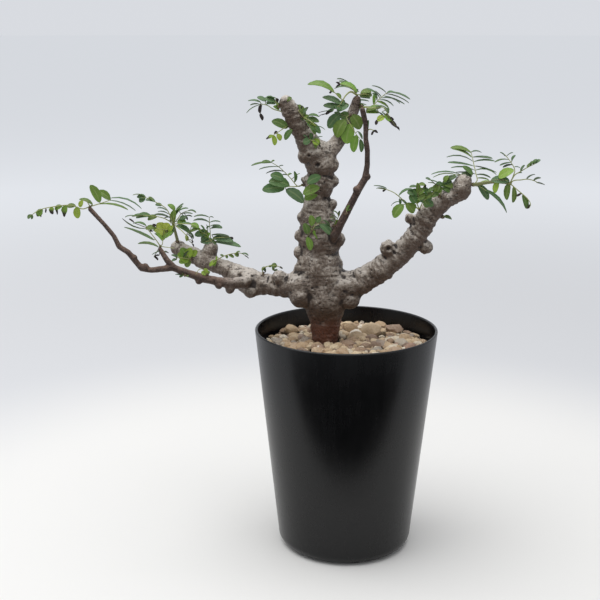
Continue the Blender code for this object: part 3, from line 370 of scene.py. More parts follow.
    "leaves_trunk_front": Spray((-20, -10, 190), -5, [
        Leaf([(-20.3, 190.5, 10)], [
            (-20, 191.4, -20.6, 197.5, 3.8, 80, 0.48), (-22.4, 186.8, -24.3, 193, 4, 80, 0.43),
            (-22.6, 185.2, -20.7, 177.6, 3.9, 80, 0.55), (-19.6, 189, -14.1, 182.3, 3.4, 80, 0.6),
            (-18.8, 190, -14.9, 190.6, 2, 60, 0.05)]),
        Leaf([(-18, 191.8, 10), (-16, 193, 11)], [
            (-17.4, 193.4, -15.1, 196.5, 3, 76, 0.38), (-15.7, 192.6, -9.7, 186.6, 3.4, 75, 0.32),
            (-13.6, 194.9, -9.7, 190.9, 1.8, 40, 0.15),
            (-12.6, 192.9, -8.9, 188.3, 1.6, 40, 0.28)])]),
    "leaves_trunk_right": Spray((-8, -9, 192), -5, [
        Leaf([(-6.9, 193.5, 5), (-5.5, 196, 6), (-4.8, 198.6, 6)], [
            (-5.8, 195.8, -9.4, 198.4, 2.2, 12, 0.33), (-5.4, 197.8, -8.3, 200, 2.2, 12, 0.38),
            (-6.3, 194.4, -9.9, 196.4, 2.2, 12, 0.48), (-6.8, 192.8, -9.9, 194.9, 2.2, 12, 0.28),
            (-7, 192.2, -4.9, 194.7, 2.4, 42, 0.6), (-5, 196.9, -4.3, 200, 2, 42, 0.12)])]),
    "leaves_upright_twig_low": Spray((-1, -13, 200), -12, [
        Leaf([(-0.8, 202, 2)], [
            (-1, 201.4, 0.6, 204.4, 1.8, 50, 0.45), (-1, 201.4, 1.4, 202.2, 1.6, 40, 0.4)])]),
    "leaves_right_bough_mid": Spray((36, -20, 204), -20, [
        Leaf([(31, 207, 4), (27.6, 209.8, 5), (24.2, 212.4, 5), (20, 214.1, 5), (15.5, 214.8, 4)], [
            (20, 215, 13.2, 216.3, 3.2, 8, 0.18), (19.8, 214.3, 18.1, 212.9, 1.8, 60, 0.2, 1),
            (20, 214.4, 14.6, 214.8, 2.4, 8, 0.38), (26.8, 210.8, 36, 213.6, 3.6, 22, 0.3, 0, 0.14),
            (28, 208.8, 31.2, 205.9, 2, 25, 0.28), (27.4, 207.6, 22.7, 205.2, 2, 12, 0.28, 0.3),
            (27.2, 209, 27.6, 205.8, 1.8, 55, 0.25)]),
        Leaf([(33.5, 206, 5), (30, 206, 6)], [
            (29.4, 206, 24.4, 198.7, 5.4, 78, 0.52), (31, 206.6, 35.2, 201.3, 5, 74, 0.45),
            (36, 206.2, 33.4, 202.8, 4.2, 75, 0.58)]),
        Leaf([(36.5, 207.5, 6), (37, 210, 7)], [
            (32.6, 211, 36.2, 206.8, 4.6, 70, 0.4), (31.3, 212.6, 35.7, 211.8, 3.8, 60, 0.3),
            (36.4, 208.8, 41.2, 211.7, 4.6, 70, 0.45), (36.4, 206.4, 38, 211.7, 4.2, 75, 0.55),
            (36.6, 208.5, 33.2, 212.6, 3.8, 66, 0.48), (37.2, 210.6, 34.4, 214.4, 3.4, 60, 0.38),
            (37.4, 211.4, 40.6, 214.6, 3.6, 62, 0.52), (37.2, 212.2, 36.8, 217.7, 2.8, 60, 0.55),
            (37.4, 217, 41, 216.8, 2.6, 40, 0.5), (41, 217, 41, 214.3, 1.8, 50, 0.1, 0.6),
            (36.6, 215.8, 32.4, 215.5, 3, 26, 0.2)]),
        Leaf([(40.5, 208, 6), (44, 210.5, 7), (48, 215.6, 8)], [
            (38, 208, 44.8, 209.4, 4.6, 64, 0.36), (40, 207.6, 45.8, 205.4, 4.2, 70, 0.3),
            (42, 212.6, 46.4, 215.2, 3, 42, 0.42), (41, 209, 44.6, 212.9, 3.8, 66, 0.5),
            (43.6, 210.4, 48.6, 211.6, 3.8, 60, 0.42), (42.6, 211, 40.4, 215.4, 3.4, 62, 0.34),
            (40.6, 208.2, 42.6, 204.2, 3.6, 70, 0.4), (45.6, 212.4, 47.2, 217, 3.2, 55, 0.5),
            (48.9, 216.2, 46.3, 213.2, 3.6, 65, 0.5), (49, 217.4, 43.4, 219.4, 2.4, 4, 0.28),
            (44, 219.2, 41.1, 220.4, 2.4, 22, 0.22), (48, 216.4, 42.4, 217.9, 2.2, 4, 0.38)])]),
    "leaves_right_bough_upper": Spray((49, -25, 211), -20, [
        Leaf([(50, 214, 6), (51, 217.3, 6)], [
            (50.7, 218.6, 51.8, 215.2, 3.4, 60, 0.4), (50.5, 217.6, 57.8, 221.4, 3.8, 48, 0.15),
            (51, 217.4, 55.4, 218.4, 3, 50, 0.25), (51, 217, 56.4, 215.4, 3.4, 62, 0.45),
            (50.4, 215.4, 47.2, 212.2, 3.6, 66, 0.5), (50.6, 216.4, 46.8, 217.4, 3.2, 55, 0.38),
            (51.2, 218, 53.6, 221.6, 3.2, 58, 0.48), (50.4, 215, 55.2, 212.6, 3.2, 60, 0.36),
            (49.4, 214.9, 52.7, 213.1, 1.6, 40, 0.05)])]),
    "leaves_right_bough_end": Spray((67, -24, 217), -20, [
        Leaf([(68.9, 219, 2), (68.2, 222.5, -2), (67, 227, -7), (66, 231, -11), (64.9, 234.6, -14)], [
            (65.1, 234, 53.9, 236.6, 4, 24, 0.48), (65.5, 231.6, 55, 236, 3.6, 20, 0.5),
            (66.2, 229.4, 52, 231.6, 3.6, 6, 0.2), (66.9, 226.8, 52.8, 228.8, 3.8, 8, 0.26),
            (67.4, 224.6, 54.5, 225.9, 3.4, 5, 0.2), (67.6, 222.6, 57.3, 223.5, 3.8, 12, 0.12),
            (65.1, 234.3, 70.7, 234.1, 3.2, 10, 0.2), (66, 231.6, 76.7, 231, 3.6, 8, 0.22),
            (66.8, 229.2, 78, 229.5, 3.6, 4, 0.16), (67.4, 226.9, 79.2, 223.4, 3.6, 4, 0.12),
            (67.8, 224.6, 79.2, 222.2, 3.2, 2, 0.38), (68.3, 222.2, 76.2, 220.5, 3.4, 4, 0.12),
            (68.8, 220.3, 75.2, 219.4, 3, 6, 0.55)]),
        Leaf([(62, 221.8, 3), (56, 222, 5)], [
            (60, 222.2, 44.1, 222.4, 3.2, 4, 0.3), (58.5, 221.7, 45, 220.7, 2.8, 3, 0.55),
            (66.4, 222.2, 60.8, 226.7, 3.8, 48, 0.36), (66, 221.2, 60.3, 222.6, 3.4, 42, 0.12)]),
        Leaf([(71, 215.4, 4), (74, 213.4, 6)], [
            (69.6, 216.8, 75.4, 208.6, 4.2, 58, 0.25), (73.6, 214, 85.7, 201.4, 3.8, 36, 0.4),
            (70, 217.2, 77, 218.4, 2.6, 40, 0.65)])],
        [(76, -29, 219.5), (84, -34, 219.5)], [
        Leaf([(84, 219.4, 14)], [
            (80.4, 220.4, 88.4, 224.8, 5.2, 66, 0.75), (76.4, 219.2, 86.4, 218.8, 4.6, 60, 0.25),
            (80.2, 218.6, 78.7, 212.2, 3.4, 70, 0.75)]),
        Leaf([(88.3, 221.4, 14), (88.9, 224.8, 12), (87, 228.4, 10), (84.6, 231.4, 8),
              (83.2, 233, 7)], [
            (87.6, 227.6, 82.4, 226.1, 2.8, 16, 0.12), (87, 228.8, 80.7, 227.2, 2.6, 8, 0.3),
            (85.4, 230.3, 77.9, 228.9, 2.4, 4, 0.42), (83.6, 232, 80.6, 234.2, 2.4, 10, 0.18),
            (84.2, 232.2, 87.6, 234.1, 2, 4, 0.28), (87.1, 229.3, 88.9, 232.7, 2.2, 22, 0.28),
            (88.8, 226.4, 91.7, 225.9, 2.2, 4, 0.18)]),
        Leaf([(89, 221.8, 15), (92, 223.8, 16), (96, 226.2, 17), (100, 228.2, 18)], [
            (95.4, 226, 97.6, 228.7, 2.4, 32, 0.42), (97, 226.8, 99.2, 229.5, 2.4, 32, 0.38),
            (98.6, 227.6, 100.7, 230.5, 2.4, 32, 0.33), (99.8, 228.2, 102.4, 230.3, 2.4, 32, 0.25),
            (92, 224, 94.1, 227.4, 2.4, 22, 0.15), (90.6, 222.9, 93, 223.2, 2, 10, 0.2)]),
        Leaf([(89, 219, 15), (92.5, 219.3, 16), (96, 219.7, 17), (99.6, 218.9, 18), (102, 217.6, 19)], [
            (95.4, 219.8, 100, 222.4, 2.2, 22, 0.08), (99.2, 219, 103.2, 220.5, 2.2, 22, 0.08),
            (101, 218, 105.6, 216.7, 2, 22, 0.08)]),
        Leaf([(88.8, 215.6, 15), (92, 213, 16), (94.5, 211, 17), (97, 208.6, 18),
              (98.4, 206, 19), (97.6, 203.8, 19)], [
            (86.2, 217.8, 85.3, 208.4, 3.8, 70, 0.5), (88.7, 215.5, 88.8, 206.9, 2.8, 70, 0.5),
            (93.8, 211.2, 96.4, 203.6, 3, 66, 0.45), (93.4, 211.8, 90.6, 210.4, 2, 60, 0.2, 1),
            (98.3, 206, 96.9, 203.6, 1.6, 60, 0.2, 0.8)])]),
    "leaves_right_bough_under": Spray((50, -19, 200), -20, [
        Leaf([(51.6, 199.5, 1)], [
            (51.6, 199.5, 55.9, 197.9, 2.8, 46, 0.48)])]),
}


# Meshes

MERGE_DISTANCE = 0.01 * MM
NOISE_REACH = 50
NOISE_SEED = 1


def new_piece(name, bm, finish=None):
    """An object in the scene from a finished bmesh."""
    mesh = bpy.data.meshes.new(name)
    bm.to_mesh(mesh)
    bm.free()
    if finish:
        mesh.materials.append(finish)
    piece = bpy.data.objects.new(name, mesh)
    bpy.context.scene.collection.objects.link(piece)
    return piece


def settle(piece):
    """Put what the modifiers make of the object into its mesh."""
    bpy.context.view_layer.update()
    depsgraph = bpy.context.evaluated_depsgraph_get()
    settled = bpy.data.meshes.new_from_object(piece.evaluated_get(depsgraph))
    piece.modifiers.clear()
    piece.data = settled


def hand_over(piece, solid):
    """Shade the piece smooth, hang it on the body it rides on and hide the solid it stands for."""
    for polygon in piece.data.polygons:
        polygon.use_smooth = True
    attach(piece, BODY)
    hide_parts(solid)


def turned(profile, segments):
    """A solid turned about Z from a profile of (radius, z), from the axis round to the axis."""
    bm = bmesh.new()
    verts = [bm.verts.new((radius, 0, z)) for radius, z in profile]
    edges = [bm.edges.new(pair) for pair in zip(verts, verts[1:])]
    bmesh.ops.spin(bm, geom=verts + edges, axis=UP, cent=(0, 0, 0), angle=2 * math.pi,
                   steps=segments, use_merge=True)
    bmesh.ops.remove_doubles(bm, verts=bm.verts, dist=MERGE_DISTANCE)
    bmesh.ops.recalc_face_normals(bm, faces=bm.faces)
    return bm


def arc(centre, radius, start, end, steps):
    """Points of (radius, z) along an arc between two angles."""
    angles = [math.radians(start + (end - start) * step / steps) for step in range(steps + 1)]
    return [(centre[0] + radius * math.cos(angle), centre[1] + radius * math.sin(angle))
            for angle in angles]


def any_offset(draw):
    """A random shift of a noise pattern, so that no two pieces share it."""
    return Vector([draw.uniform(-NOISE_REACH, NOISE_REACH) for _ in range(3)])


# Materials

VALUE = "NodeSocketFloat"
COLOUR = "NodeSocketColor"
VECTOR = "NodeSocketVector"

# Fixed colours, and runs of (position, colour)
DUST = (0.10, 0.095, 0.085, 1)
CRUMB_TONES = [(0.0, (0.022, 0.014, 0.009, 1)), (0.6, (0.06, 0.04, 0.028, 1)),
               (1.0, (0.12, 0.085, 0.055, 1))]
STONE_TONES = [(0.0, (0.12, 0.07, 0.05, 1)), (0.14, (0.33, 0.20, 0.12, 1)),
               (0.28, (0.55, 0.38, 0.21, 1)), (0.48, (0.80, 0.64, 0.41, 1)),
               (0.6, (0.60, 0.45, 0.28, 1)), (0.7, (0.38, 0.21, 0.145, 1)),
               (0.8, (0.32, 0.28, 0.235, 1)), (0.9, (0.86, 0.76, 0.58, 1)),
               (1.0, (0.93, 0.88, 0.77, 1))]
# Painted shade in the pores of the stones
STONE_PORE_SHADE = (0.12, 0.08, 0.06, 1)
# Painted shade: the near-black bed stands for the shade in the gaps between the stones
BED_SHADE = (0.03, 0.02, 0.014, 1)
# Painted shade in the pores of the bark
BARK_PORE_SHADE = (0.03, 0.018, 0.012, 1)
# Painted shade: the two darkest leaf greens stand for leaflets in shadow
SHADED_GREEN = (0.018, 0.036, 0.008, 1)
HALF_SHADED_GREEN = (0.038, 0.08, 0.018, 1)
LEAF_BLOTCH = (0.02, 0.03, 0.006, 1)
LEAF_UNDERSIDE = (0.24, 0.28, 0.16, 1)
MIDRIB = (0.42, 0.47, 0.2, 1)
STALK_TONES = [(0.0, (0.11, 0.065, 0.04, 1)), (0.4, (0.16, 0.17, 0.06, 1)),
               (1.0, (0.40, 0.43, 0.15, 1))]
BLACK = (0, 0, 0, 1)
CARD_BLACK = (0.004, 0.004, 0.004, 1)

# Heights between which the bark turns from the colour of its foot to its own
FOOT_FADE = (0.13, 0.142)


def feed(tree, sockets, values):
    """Set each socket named to its value, or link it where the value is another socket."""
    for name, value in values.items():
        if isinstance(value, bpy.types.NodeSocket):
            tree.links.new(value, sockets[name])
        else:
            sockets[name].default_value = value


def node(tree, kind, inputs=None, **settings):
    """A node in the tree, with its settings made and its inputs set or linked."""
    new = tree.nodes.new("ShaderNode" + kind)
    for name, value in settings.items():
        setattr(new, name, value)
    feed(tree, new.inputs, inputs or {})
    return new


def mixed(tree, share, low, high):
    """A colour between two others."""
    return node(tree, "Mix", {0: share, 6: low, 7: high}, data_type="RGBA").outputs[2]


def ranged(tree, value, low=0.0, high=1.0, to_low=0.0, to_high=1.0):
    """A value eased from one range into another."""
    inputs = {"Value": value, "From Min": low, "From Max": high, "To Min": to_low, "To Max": to_high}
    return node(tree, "MapRange", inputs, interpolation_type="SMOOTHSTEP").outputs[0]


def combined(tree, operation, first, second=0.0):
    """Arithmetic on one value or two."""
    return node(tree, "Math", {0: first, 1: second}, operation=operation).outputs[0]


def added(tree, first, second):
    """The sum of two values."""
    return combined(tree, "ADD", first, second)


def scaled(tree, value, factor):
    """A value times another."""
    return combined(tree, "MULTIPLY", value, factor)


def ramped(tree, value, stops):
    """A colour from a run of (position, colour) stops."""
    ramp = node(tree, "ValToRGB", {"Fac": value})
    elements = ramp.color_ramp.elements
    while len(elements) < len(stops):
        elements.new(0.5)
    for element, (position, colour) in zip(elements, stops):
        element.position = position
        element.color = colour
    return ramp.outputs[0]


def stretched(tree, coordinates, scale):
    """Coordinates scaled along each axis, so that a pattern is drawn out."""
    return node(tree, "Mapping", {"Vector": coordinates, "Scale": scale}).outputs[0]


def attribute(tree, name):
    """The value of a named attribute of the mesh."""
    return node(tree, "Attribute", attribute_name=name).outputs["Fac"]


def height_in(tree, vector):
    """The last of a vector's three values."""
    return node(tree, "SeparateXYZ", {0: vector}).outputs[2]


def skyward(tree):
    """How far the surface faces the sky, from -1, straight down, to 1, straight up."""
    return height_in(tree, node(tree, "NewGeometry").outputs["Normal"])


def effect_group(name, inputs, outputs):
    """A new node group with the sockets named: the group, its inputs and its outputs."""
    group = bpy.data.node_groups.new(name, "ShaderNodeTree")
    for socket, kind in inputs.items():
        group.interface.new_socket(name=socket, in_out="INPUT", socket_type=kind)
    for socket, kind in outputs.items():
        group.interface.new_socket(name=socket, in_out="OUTPUT", socket_type=kind)
    return group, group.nodes.new("NodeGroupInput").outputs, group.nodes.new("NodeGroupOutput").inputs


def mottle_group():
    """Cloudy patches at one size with smaller ones in them."""
    inputs = {"Vector": VECTOR, "Scale": VALUE, "Contrast": VALUE}
    group, given, result = effect_group("senna_mottle", inputs, {"Mask": VALUE})
    cloud = node(group, "TexNoise", {"Vector": given["Vector"], "Scale": given["Scale"], "Detail": 6.0,
                                     "Roughness": 0.62, "Distortion": 0.3}).outputs[0]
    half = scaled(group, given["Contrast"], -0.5)
    low = added(group, 0.5, half)
    high = combined(group, "SUBTRACT", 0.5, half)
    feed(group, result, {"Mask": ranged(group, cloud, low, high)})


def grain_group():
    """Fine relief: pores and grains of one size over a finer roughness, and a mask of the pores that
    shade is painted into.
    """
    inputs = {"Vector": VECTOR, "Scale": VALUE, "Pores": VALUE}
    group, given, result = effect_group("senna_grain", inputs, {"Height": VALUE, "Pore": VALUE})
    fine = node(group, "TexNoise", {"Vector": given["Vector"], "Scale": given["Scale"], "Detail": 5.0,
                                    "Roughness": 0.7}).outputs[0]
    cells = node(group, "TexVoronoi", {"Vector": given["Vector"], "Scale": given["Scale"],
                                       "Randomness": 1.0}).outputs["Distance"]
    pore = scaled(group, ranged(group, cells, 0.08, 0.3, 1.0, 0.0), given["Pores"])
    feed(group, result, {"Height": combined(group, "SUBTRACT", fine, pore), "Pore": pore})


def dust_group():
    """Fine dust and lime that settle on what faces the sky."""
    inputs = {"Vector": VECTOR, "Color": COLOUR, "Dust": COLOUR, "Amount": VALUE}
    group, given, result = effect_group("senna_dust", inputs, {"Color": COLOUR, "Mask": VALUE})
    level = ranged(group, skyward(group), 0.1, 0.95)
    patches = node(group, "TexNoise", {"Vector": given["Vector"], "Scale": 420.0, "Detail": 6.0,
                                       "Roughness": 0.75}).outputs[0]
    mask = scaled(group, level, ranged(group, patches, 0.4, 0.62))
    mask = scaled(group, mask, given["Amount"])
    feed(group, result, {"Color": mixed(group, mask, given["Color"], given["Dust"]), "Mask": mask})


def use_group(tree, name, inputs):
    """One of the shared effects, placed in a material with its own values."""
    placed = tree.nodes.new("ShaderNodeGroup")
    placed.node_tree = bpy.data.node_groups[name]
    feed(tree, placed.inputs, inputs)
    return placed.outputs


def mottle(tree, coordinates, scale, contrast):
    """The shared patches, as a mask from 0 to 1."""
    inputs = {"Vector": coordinates, "Scale": scale, "Contrast": contrast}
    return use_group(tree, "senna_mottle", inputs)["Mask"]


def grain(tree, coordinates, scale, pores):
    """The shared fine relief: its height and its pores."""
    return use_group(tree, "senna_grain", {"Vector": coordinates, "Scale": scale, "Pores": pores})


def new_material(name):
    """A material with its tree, its shader's inputs and the object's coordinates."""
    finish = bpy.data.materials.new(name)
    finish.use_nodes = True
    tree = finish.node_tree
    shader = tree.nodes["Principled BSDF"].inputs
    coordinates = node(tree, "TexCoord").outputs["Object"]
    return finish, tree, shader, coordinates


def set_bump(tree, shader, height, depth):
    """Relief on the surface, with its depth in metres."""
    bump = node(tree, "Bump", {"Height": height, "Distance": depth, "Strength": 1.0})
    feed(tree, shader, {"Normal": bump.outputs[0]})


def plastic_material(settings):
    """Moulded black plastic with faint drawn streaks, scuffs and a little dust."""
    finish, tree, shader, coordinates = new_material("black_plastic")
    drawn = stretched(tree, coordinates, (1.0, 1.0, 0.035))
    streak = mottle(tree, drawn, scale=420.0, contrast=0.9)
    cloud = mottle(tree, coordinates, scale=35.0, contrast=0.6)
    colour = mixed(tree, streak, settings.colour, settings.streak_colour)
    dusted = use_group(tree, "senna_dust", {"Vector": coordinates, "Color": colour, "Dust": DUST,
                                            "Amount": 0.12})
    rough = ranged(tree, streak, to_low=settings.roughness - 0.02, to_high=settings.roughness + 0.02)
    rough = added(tree, rough, ranged(tree, cloud, to_low=-0.03, to_high=0.03))
    rough = added(tree, rough, scaled(tree, dusted["Mask"], 0.3))
    feed(tree, shader, {"Base Color": dusted["Color"], "Roughness": rough, "Specular IOR Level": 0.4})
    relief = grain(tree, coordinates, scale=2600.0, pores=0.25)["Height"]
    set_bump(tree, shader, added(tree, scaled(tree, streak, 0.3), relief), depth=0.000006)
    return finish


def mix_material():
    """Damp potting mix: dark bark crumb."""
    finish, tree, shader, coordinates = new_material("potting_mix")
    crumb = mottle(tree, coordinates, scale=260.0, contrast=0.4)
    rough = ranged(tree, crumb, to_low=0.85, to_high=1.0)
    feed(tree, shader, {"Base Color": ramped(tree, crumb, CRUMB_TONES), "Roughness": rough})
    set_bump(tree, shader, grain(tree, coordinates, scale=500.0, pores=0.8)["Height"], depth=0.0015)
    return finish


def stone_material(settings):
    """Dry stone in several colours, speckled, with painted shade in its pores, over a bed painted near
    black as the shade in the gaps between the stones.
    """
    finish, tree, shader, coordinates = new_material("grit_stone")
    body = ramped(tree, attribute(tree, "tone"), STONE_TONES)
    patches = mottle(tree, coordinates, scale=330.0, contrast=0.5)
    speck = mottle(tree, coordinates, scale=1500.0, contrast=0.35)
    relief_and_pore_shade = grain(tree, coordinates, scale=900.0, pores=0.6)
    colour = mixed(tree, scaled(tree, patches, 0.3), body, settings.stone_stain)
    colour = mixed(tree, scaled(tree, speck, 0.28), colour, settings.stone_pale)
    # Painted shade in the pores
    colour = mixed(tree, scaled(tree, relief_and_pore_shade["Pore"], 0.5), colour, STONE_PORE_SHADE)
    # Painted shade: the bed between the stones is near black
    colour = mixed(tree, attribute(tree, "bed"), colour, BED_SHADE)
    rough = ranged(tree, patches, to_low=0.72, to_high=0.95)
    feed(tree, shader, {"Base Color": colour, "Roughness": rough})
    set_bump(tree, shader, relief_and_pore_shade["Height"], depth=0.0004)
    return finish


def bark_material(settings):
    """Wrinkled grey bark with brown patches, reddish at the foot, and light painted in: paler with a
    painted silver highlight where it faces the sky, and painted shade on the undersides and in the
    creases, pits and pores.
    """
    finish, tree, shader, coordinates = new_material("bark")
    patches = mottle(tree, coordinates, scale=170.0, contrast=0.4)
    fine = mottle(tree, coordinates, scale=700.0, contrast=0.35)
    flecks = mottle(tree, stretched(tree, coordinates, (0.8, 0.8, 2.2)), scale=330.0, contrast=0.3)
    pitted = grain(tree, coordinates, scale=520.0, pores=0.9)
    # Painted light: the bark is paler where it faces the sky, as light from above would make it, and its
    # palest parts get a painted silver highlight
    upward = skyward(tree)
    light = added(tree, upward, scaled(tree, patches, 0.6))
    light = added(tree, light, scaled(tree, fine, 0.4))
    colour = mixed(tree, ranged(tree, light, 0.0, 1.25), settings.bark_brown, settings.bark_grey)
    highlight_share = scaled(tree, ranged(tree, light, 0.6, 1.65), 0.8)
    colour = mixed(tree, highlight_share, colour, settings.bark_highlight)
    stain = scaled(tree, ranged(tree, flecks, 0.26, 0.0), 0.85)
    colour = mixed(tree, stain, colour, settings.bark_stain)
    # Painted light on the twigs too: paler where they face the sky
    pale = scaled(tree, ranged(tree, light, 0.2, 1.8), 0.9)
    twig = mixed(tree, pale, settings.twig_brown, settings.twig_grey)
    colour = mixed(tree, attribute(tree, "young"), colour, twig)
    # Painted shade: the bark that faces down is darkened
    colour = mixed(tree, ranged(tree, upward, -0.85, 0.1, 0.7, 0.0), colour, settings.bark_underside_shade)
    foot = ranged(tree, height_in(tree, coordinates), *FOOT_FADE, 0.85, 0.0)
    colour = mixed(tree, foot, colour, settings.bark_foot)
    # Painted shade in the creases and pits
    colour = mixed(tree, ranged(tree, attribute(tree, "hollow_shade")), colour, settings.bark_crease_shade)
    # Painted shade in the pores
    colour = mixed(tree, scaled(tree, pitted["Pore"], 0.6), colour, BARK_PORE_SHADE)
    rough = ranged(tree, fine, to_low=0.62, to_high=0.42)
    feed(tree, shader, {"Base Color": colour, "Roughness": rough})
    set_bump(tree, shader, added(tree, pitted["Height"], scaled(tree, fine, 0.6)), depth=0.0005)
    return finish


def leaf_material(settings):
    """Satin leaflets from painted-shade green through a painted bluish sheen to yellow green, black
    where shrivelled, on green stalks.
    """
    finish, tree, shader, coordinates = new_material("leaf")
    tone = attribute(tree, "tone")
    dry = attribute(tree, "dry")
    from_midrib = combined(tree, "ABSOLUTE", attribute(tree, "across"))
    # The two darkest stops are painted shade for leaflets in shadow, and the bluish green is a painted
    # sheen of the sky's reflection
    blade = ramped(tree, tone, [(0.0, SHADED_GREEN), (0.12, HALF_SHADED_GREEN), (0.25, settings.sky_sheen_green),
                                (0.36, settings.deep_green), (0.48, settings.olive_green),
                                (0.62, settings.leaf_green), (0.8, settings.bright_green),
                                (1.0, settings.yellow_green)])
    patches = mottle(tree, coordinates, scale=480.0, contrast=0.5)
    blade = mixed(tree, scaled(tree, patches, 0.5), blade, mixed(tree, 0.5, blade, LEAF_BLOTCH))
    rib = ranged(tree, from_midrib, 0.04, 0.2, 0.22, 0.0)
    blade = mixed(tree, rib, blade, MIDRIB)
    under = ranged(tree, skyward(tree), -0.6, -0.1, 0.4, 0.0)
    blade = mixed(tree, under, blade, mixed(tree, 0.5, blade, LEAF_UNDERSIDE))
    colour = mixed(tree, attribute(tree, "stem"), blade, ramped(tree, tone, STALK_TONES))
    colour = mixed(tree, dry, colour, settings.shrivelled)
    satin = settings.leaf_roughness
    rough = ranged(tree, patches, to_low=satin - 0.06, to_high=satin + 0.08)
    rough = added(tree, rough, scaled(tree, dry, 0.25))
    feed(tree, shader, {"Base Color": colour, "Roughness": rough})
    swept = combined(tree, "SUBTRACT", attribute(tree, "along"), scaled(tree, from_midrib, 0.3))
    veins = combined(tree, "SINE", scaled(tree, swept, 75.0))
    fine = grain(tree, coordinates, scale=1800.0, pores=0.2)["Height"]
    relief = added(tree, scaled(tree, veins, 0.3), scaled(tree, fine, 0.4))
    set_bump(tree, shader, combined(tree, "SUBTRACT", relief, rib), depth=0.00008)
    return finish


# Sizes and colours that can be changed

def colour_setting(name, description, *colour):
    """A colour, given as red, green and blue."""
    return FloatVectorProperty(name=name, description=description, size=4, subtype="COLOR",
                               default=(*colour, 1), min=0, max=1)


def length_setting(name, description, default, **limits):
    """A length in metres."""
    return FloatProperty(name=name, description=description, default=default, unit="LENGTH", **limits)


class SennaPotSettings(bpy.types.PropertyGroup):
    """Sizes and finish of the pot."""
    rim_radius: length_setting("Rim radius", "Outer radius of the pot at its lip", 0.0525)
    height: length_setting("Height", "Height of the pot from its foot to its lip", 0.131)
    base_radius: length_setting("Base radius", "Radius that the tapering wall would have at the table",
                                0.0386)
    wall: length_setting("Wall", "Thickness of the pot's wall", 0.0016)
    base_corner: length_setting("Base corner", "Radius of the rounded corner under the wall", 0.007)
    segments: IntProperty(
        name="Segments", description="Number of flats round the pot", default=128, min=36, max=256)
    colour: colour_setting("Plastic colour", "Colour of the black plastic", 0.0010, 0.0011, 0.0014)
    streak_colour: colour_setting("Streak colour", "Colour of the faint streaks in the plastic",
                                  0.0022, 0.0023, 0.0027)
    roughness: FloatProperty(
        name="Roughness", description="Mean roughness of the plastic", default=0.27, min=0, max=1,
        subtype="FACTOR")


class SennaGritSettings(bpy.types.PropertyGroup):
    """Sizes and colours of the grit."""
    edge: length_setting("Height at the wall", "Height of the bed of grit at the pot's wall", 0.1195)
    crown: length_setting("Height in the middle", "Height of the bed of grit at the pot's axis", 0.1215)
    bottom: length_setting("Underside", "Height of the underside of the grit", 0.1123)
    gravel: IntProperty(
        name="Gravel", description="Number of stones of middle size", default=170, min=0, max=600)
    fines: IntProperty(
        name="Fines", description="Number of small stones between the others", default=300, min=0,
        max=900)
    stone_stain: colour_setting("Stain", "Colour of the patches on the stones", 0.30, 0.19, 0.12)
    stone_pale: colour_setting("Speckle", "Colour of the pale specks on the stones", 0.74, 0.66, 0.54)


class SennaWoodSettings(bpy.types.PropertyGroup):
    """Relief and colours of the wood."""
    voxel: length_setting("Detail", "Size of the cells that the limbs are blended in", 0.0006,
                          min=0.0004, max=0.003, precision=5)
    lump: length_setting("Lumps", "Height of the lumps in the bark", 0.0006, precision=5)
    wrinkle: length_setting("Wrinkles", "Depth of the wrinkles round the limbs", 0.00055, precision=5)
    pit: length_setting("Pits", "Depth of the scattered pits", 0.001, precision=5)
    # Brown and grey are mixed partly by the patches and partly by painted light, paler where the bark
    # faces the sky; the silver is a painted highlight
    bark_grey: colour_setting("Grey bark", "Colour of the older bark", 0.35, 0.295, 0.24)
    bark_brown: colour_setting("Brown bark", "Colour of the browner patches", 0.088, 0.056, 0.037)
    bark_highlight: colour_setting("Silver bark", "Colour of the bark that catches the light",
                                0.68, 0.62, 0.555)
    bark_stain: colour_setting("Stains", "Colour of the dark flecks in the bark", 0.045, 0.03, 0.02)
    # The twigs' brown and grey are mixed by painted light, paler where they face the sky
    twig_brown: colour_setting("Brown twigs", "Darker colour of the thin twigs", 0.036, 0.017, 0.011)
    twig_grey: colour_setting("Grey twigs", "Paler colour of the thin twigs", 0.23, 0.145, 0.105)
    # The underside colour is painted shade on the bark that faces down
    bark_underside_shade: colour_setting("Underside", "Colour of the bark that faces down", 0.085, 0.048, 0.03)
    bark_foot: colour_setting("Foot", "Colour of the bark just above the grit", 0.15, 0.05, 0.026)
    # The crease colour is painted shade in the creases and pits
    bark_crease_shade: colour_setting("Creases", "Colour of the bark in creases and pits",
                                0.022, 0.013, 0.009)


class SennaLeafSettings(bpy.types.PropertyGroup):
    """Sizes and colours of the leaves."""
    leaf_thickness: length_setting("Leaflet thickness", "Thickness of a leaflet", 0.00022, precision=5)
    leaf_fold: FloatProperty(
        name="Fold", description="How far a leaflet's edges fold up, as a share of its half width",
        default=0.22, subtype="FACTOR")
    leaf_roughness: FloatProperty(
        name="Leaf roughness", description="Mean roughness of the leaflets", default=0.45, min=0.1,
        max=0.9, subtype="FACTOR")
    # The bluish green is a painted sheen of the sky on satin leaflets
    sky_sheen_green: colour_setting("Bluish green", "Colour of leaflets that catch the light",
                                 0.105, 0.20, 0.08)
    deep_green: colour_setting("Deep green", "Colour of old leaflets", 0.06, 0.15, 0.028)
    olive_green: colour_setting("Olive green", "Colour of leaflets of middle age", 0.125, 0.20, 0.022)
    leaf_green: colour_setting("Leaf green", "Colour of fresh leaflets", 0.16, 0.32, 0.03)
    bright_green: colour_setting("Bright green", "Colour of young leaflets", 0.29, 0.43, 0.032)
    yellow_green: colour_setting("Yellow green", "Colour of the youngest leaflets", 0.40, 0.47, 0.055)
    shrivelled: colour_setting("Shrivelled", "Colour of the dead parts of leaflets",
                               0.022, 0.013, 0.009)


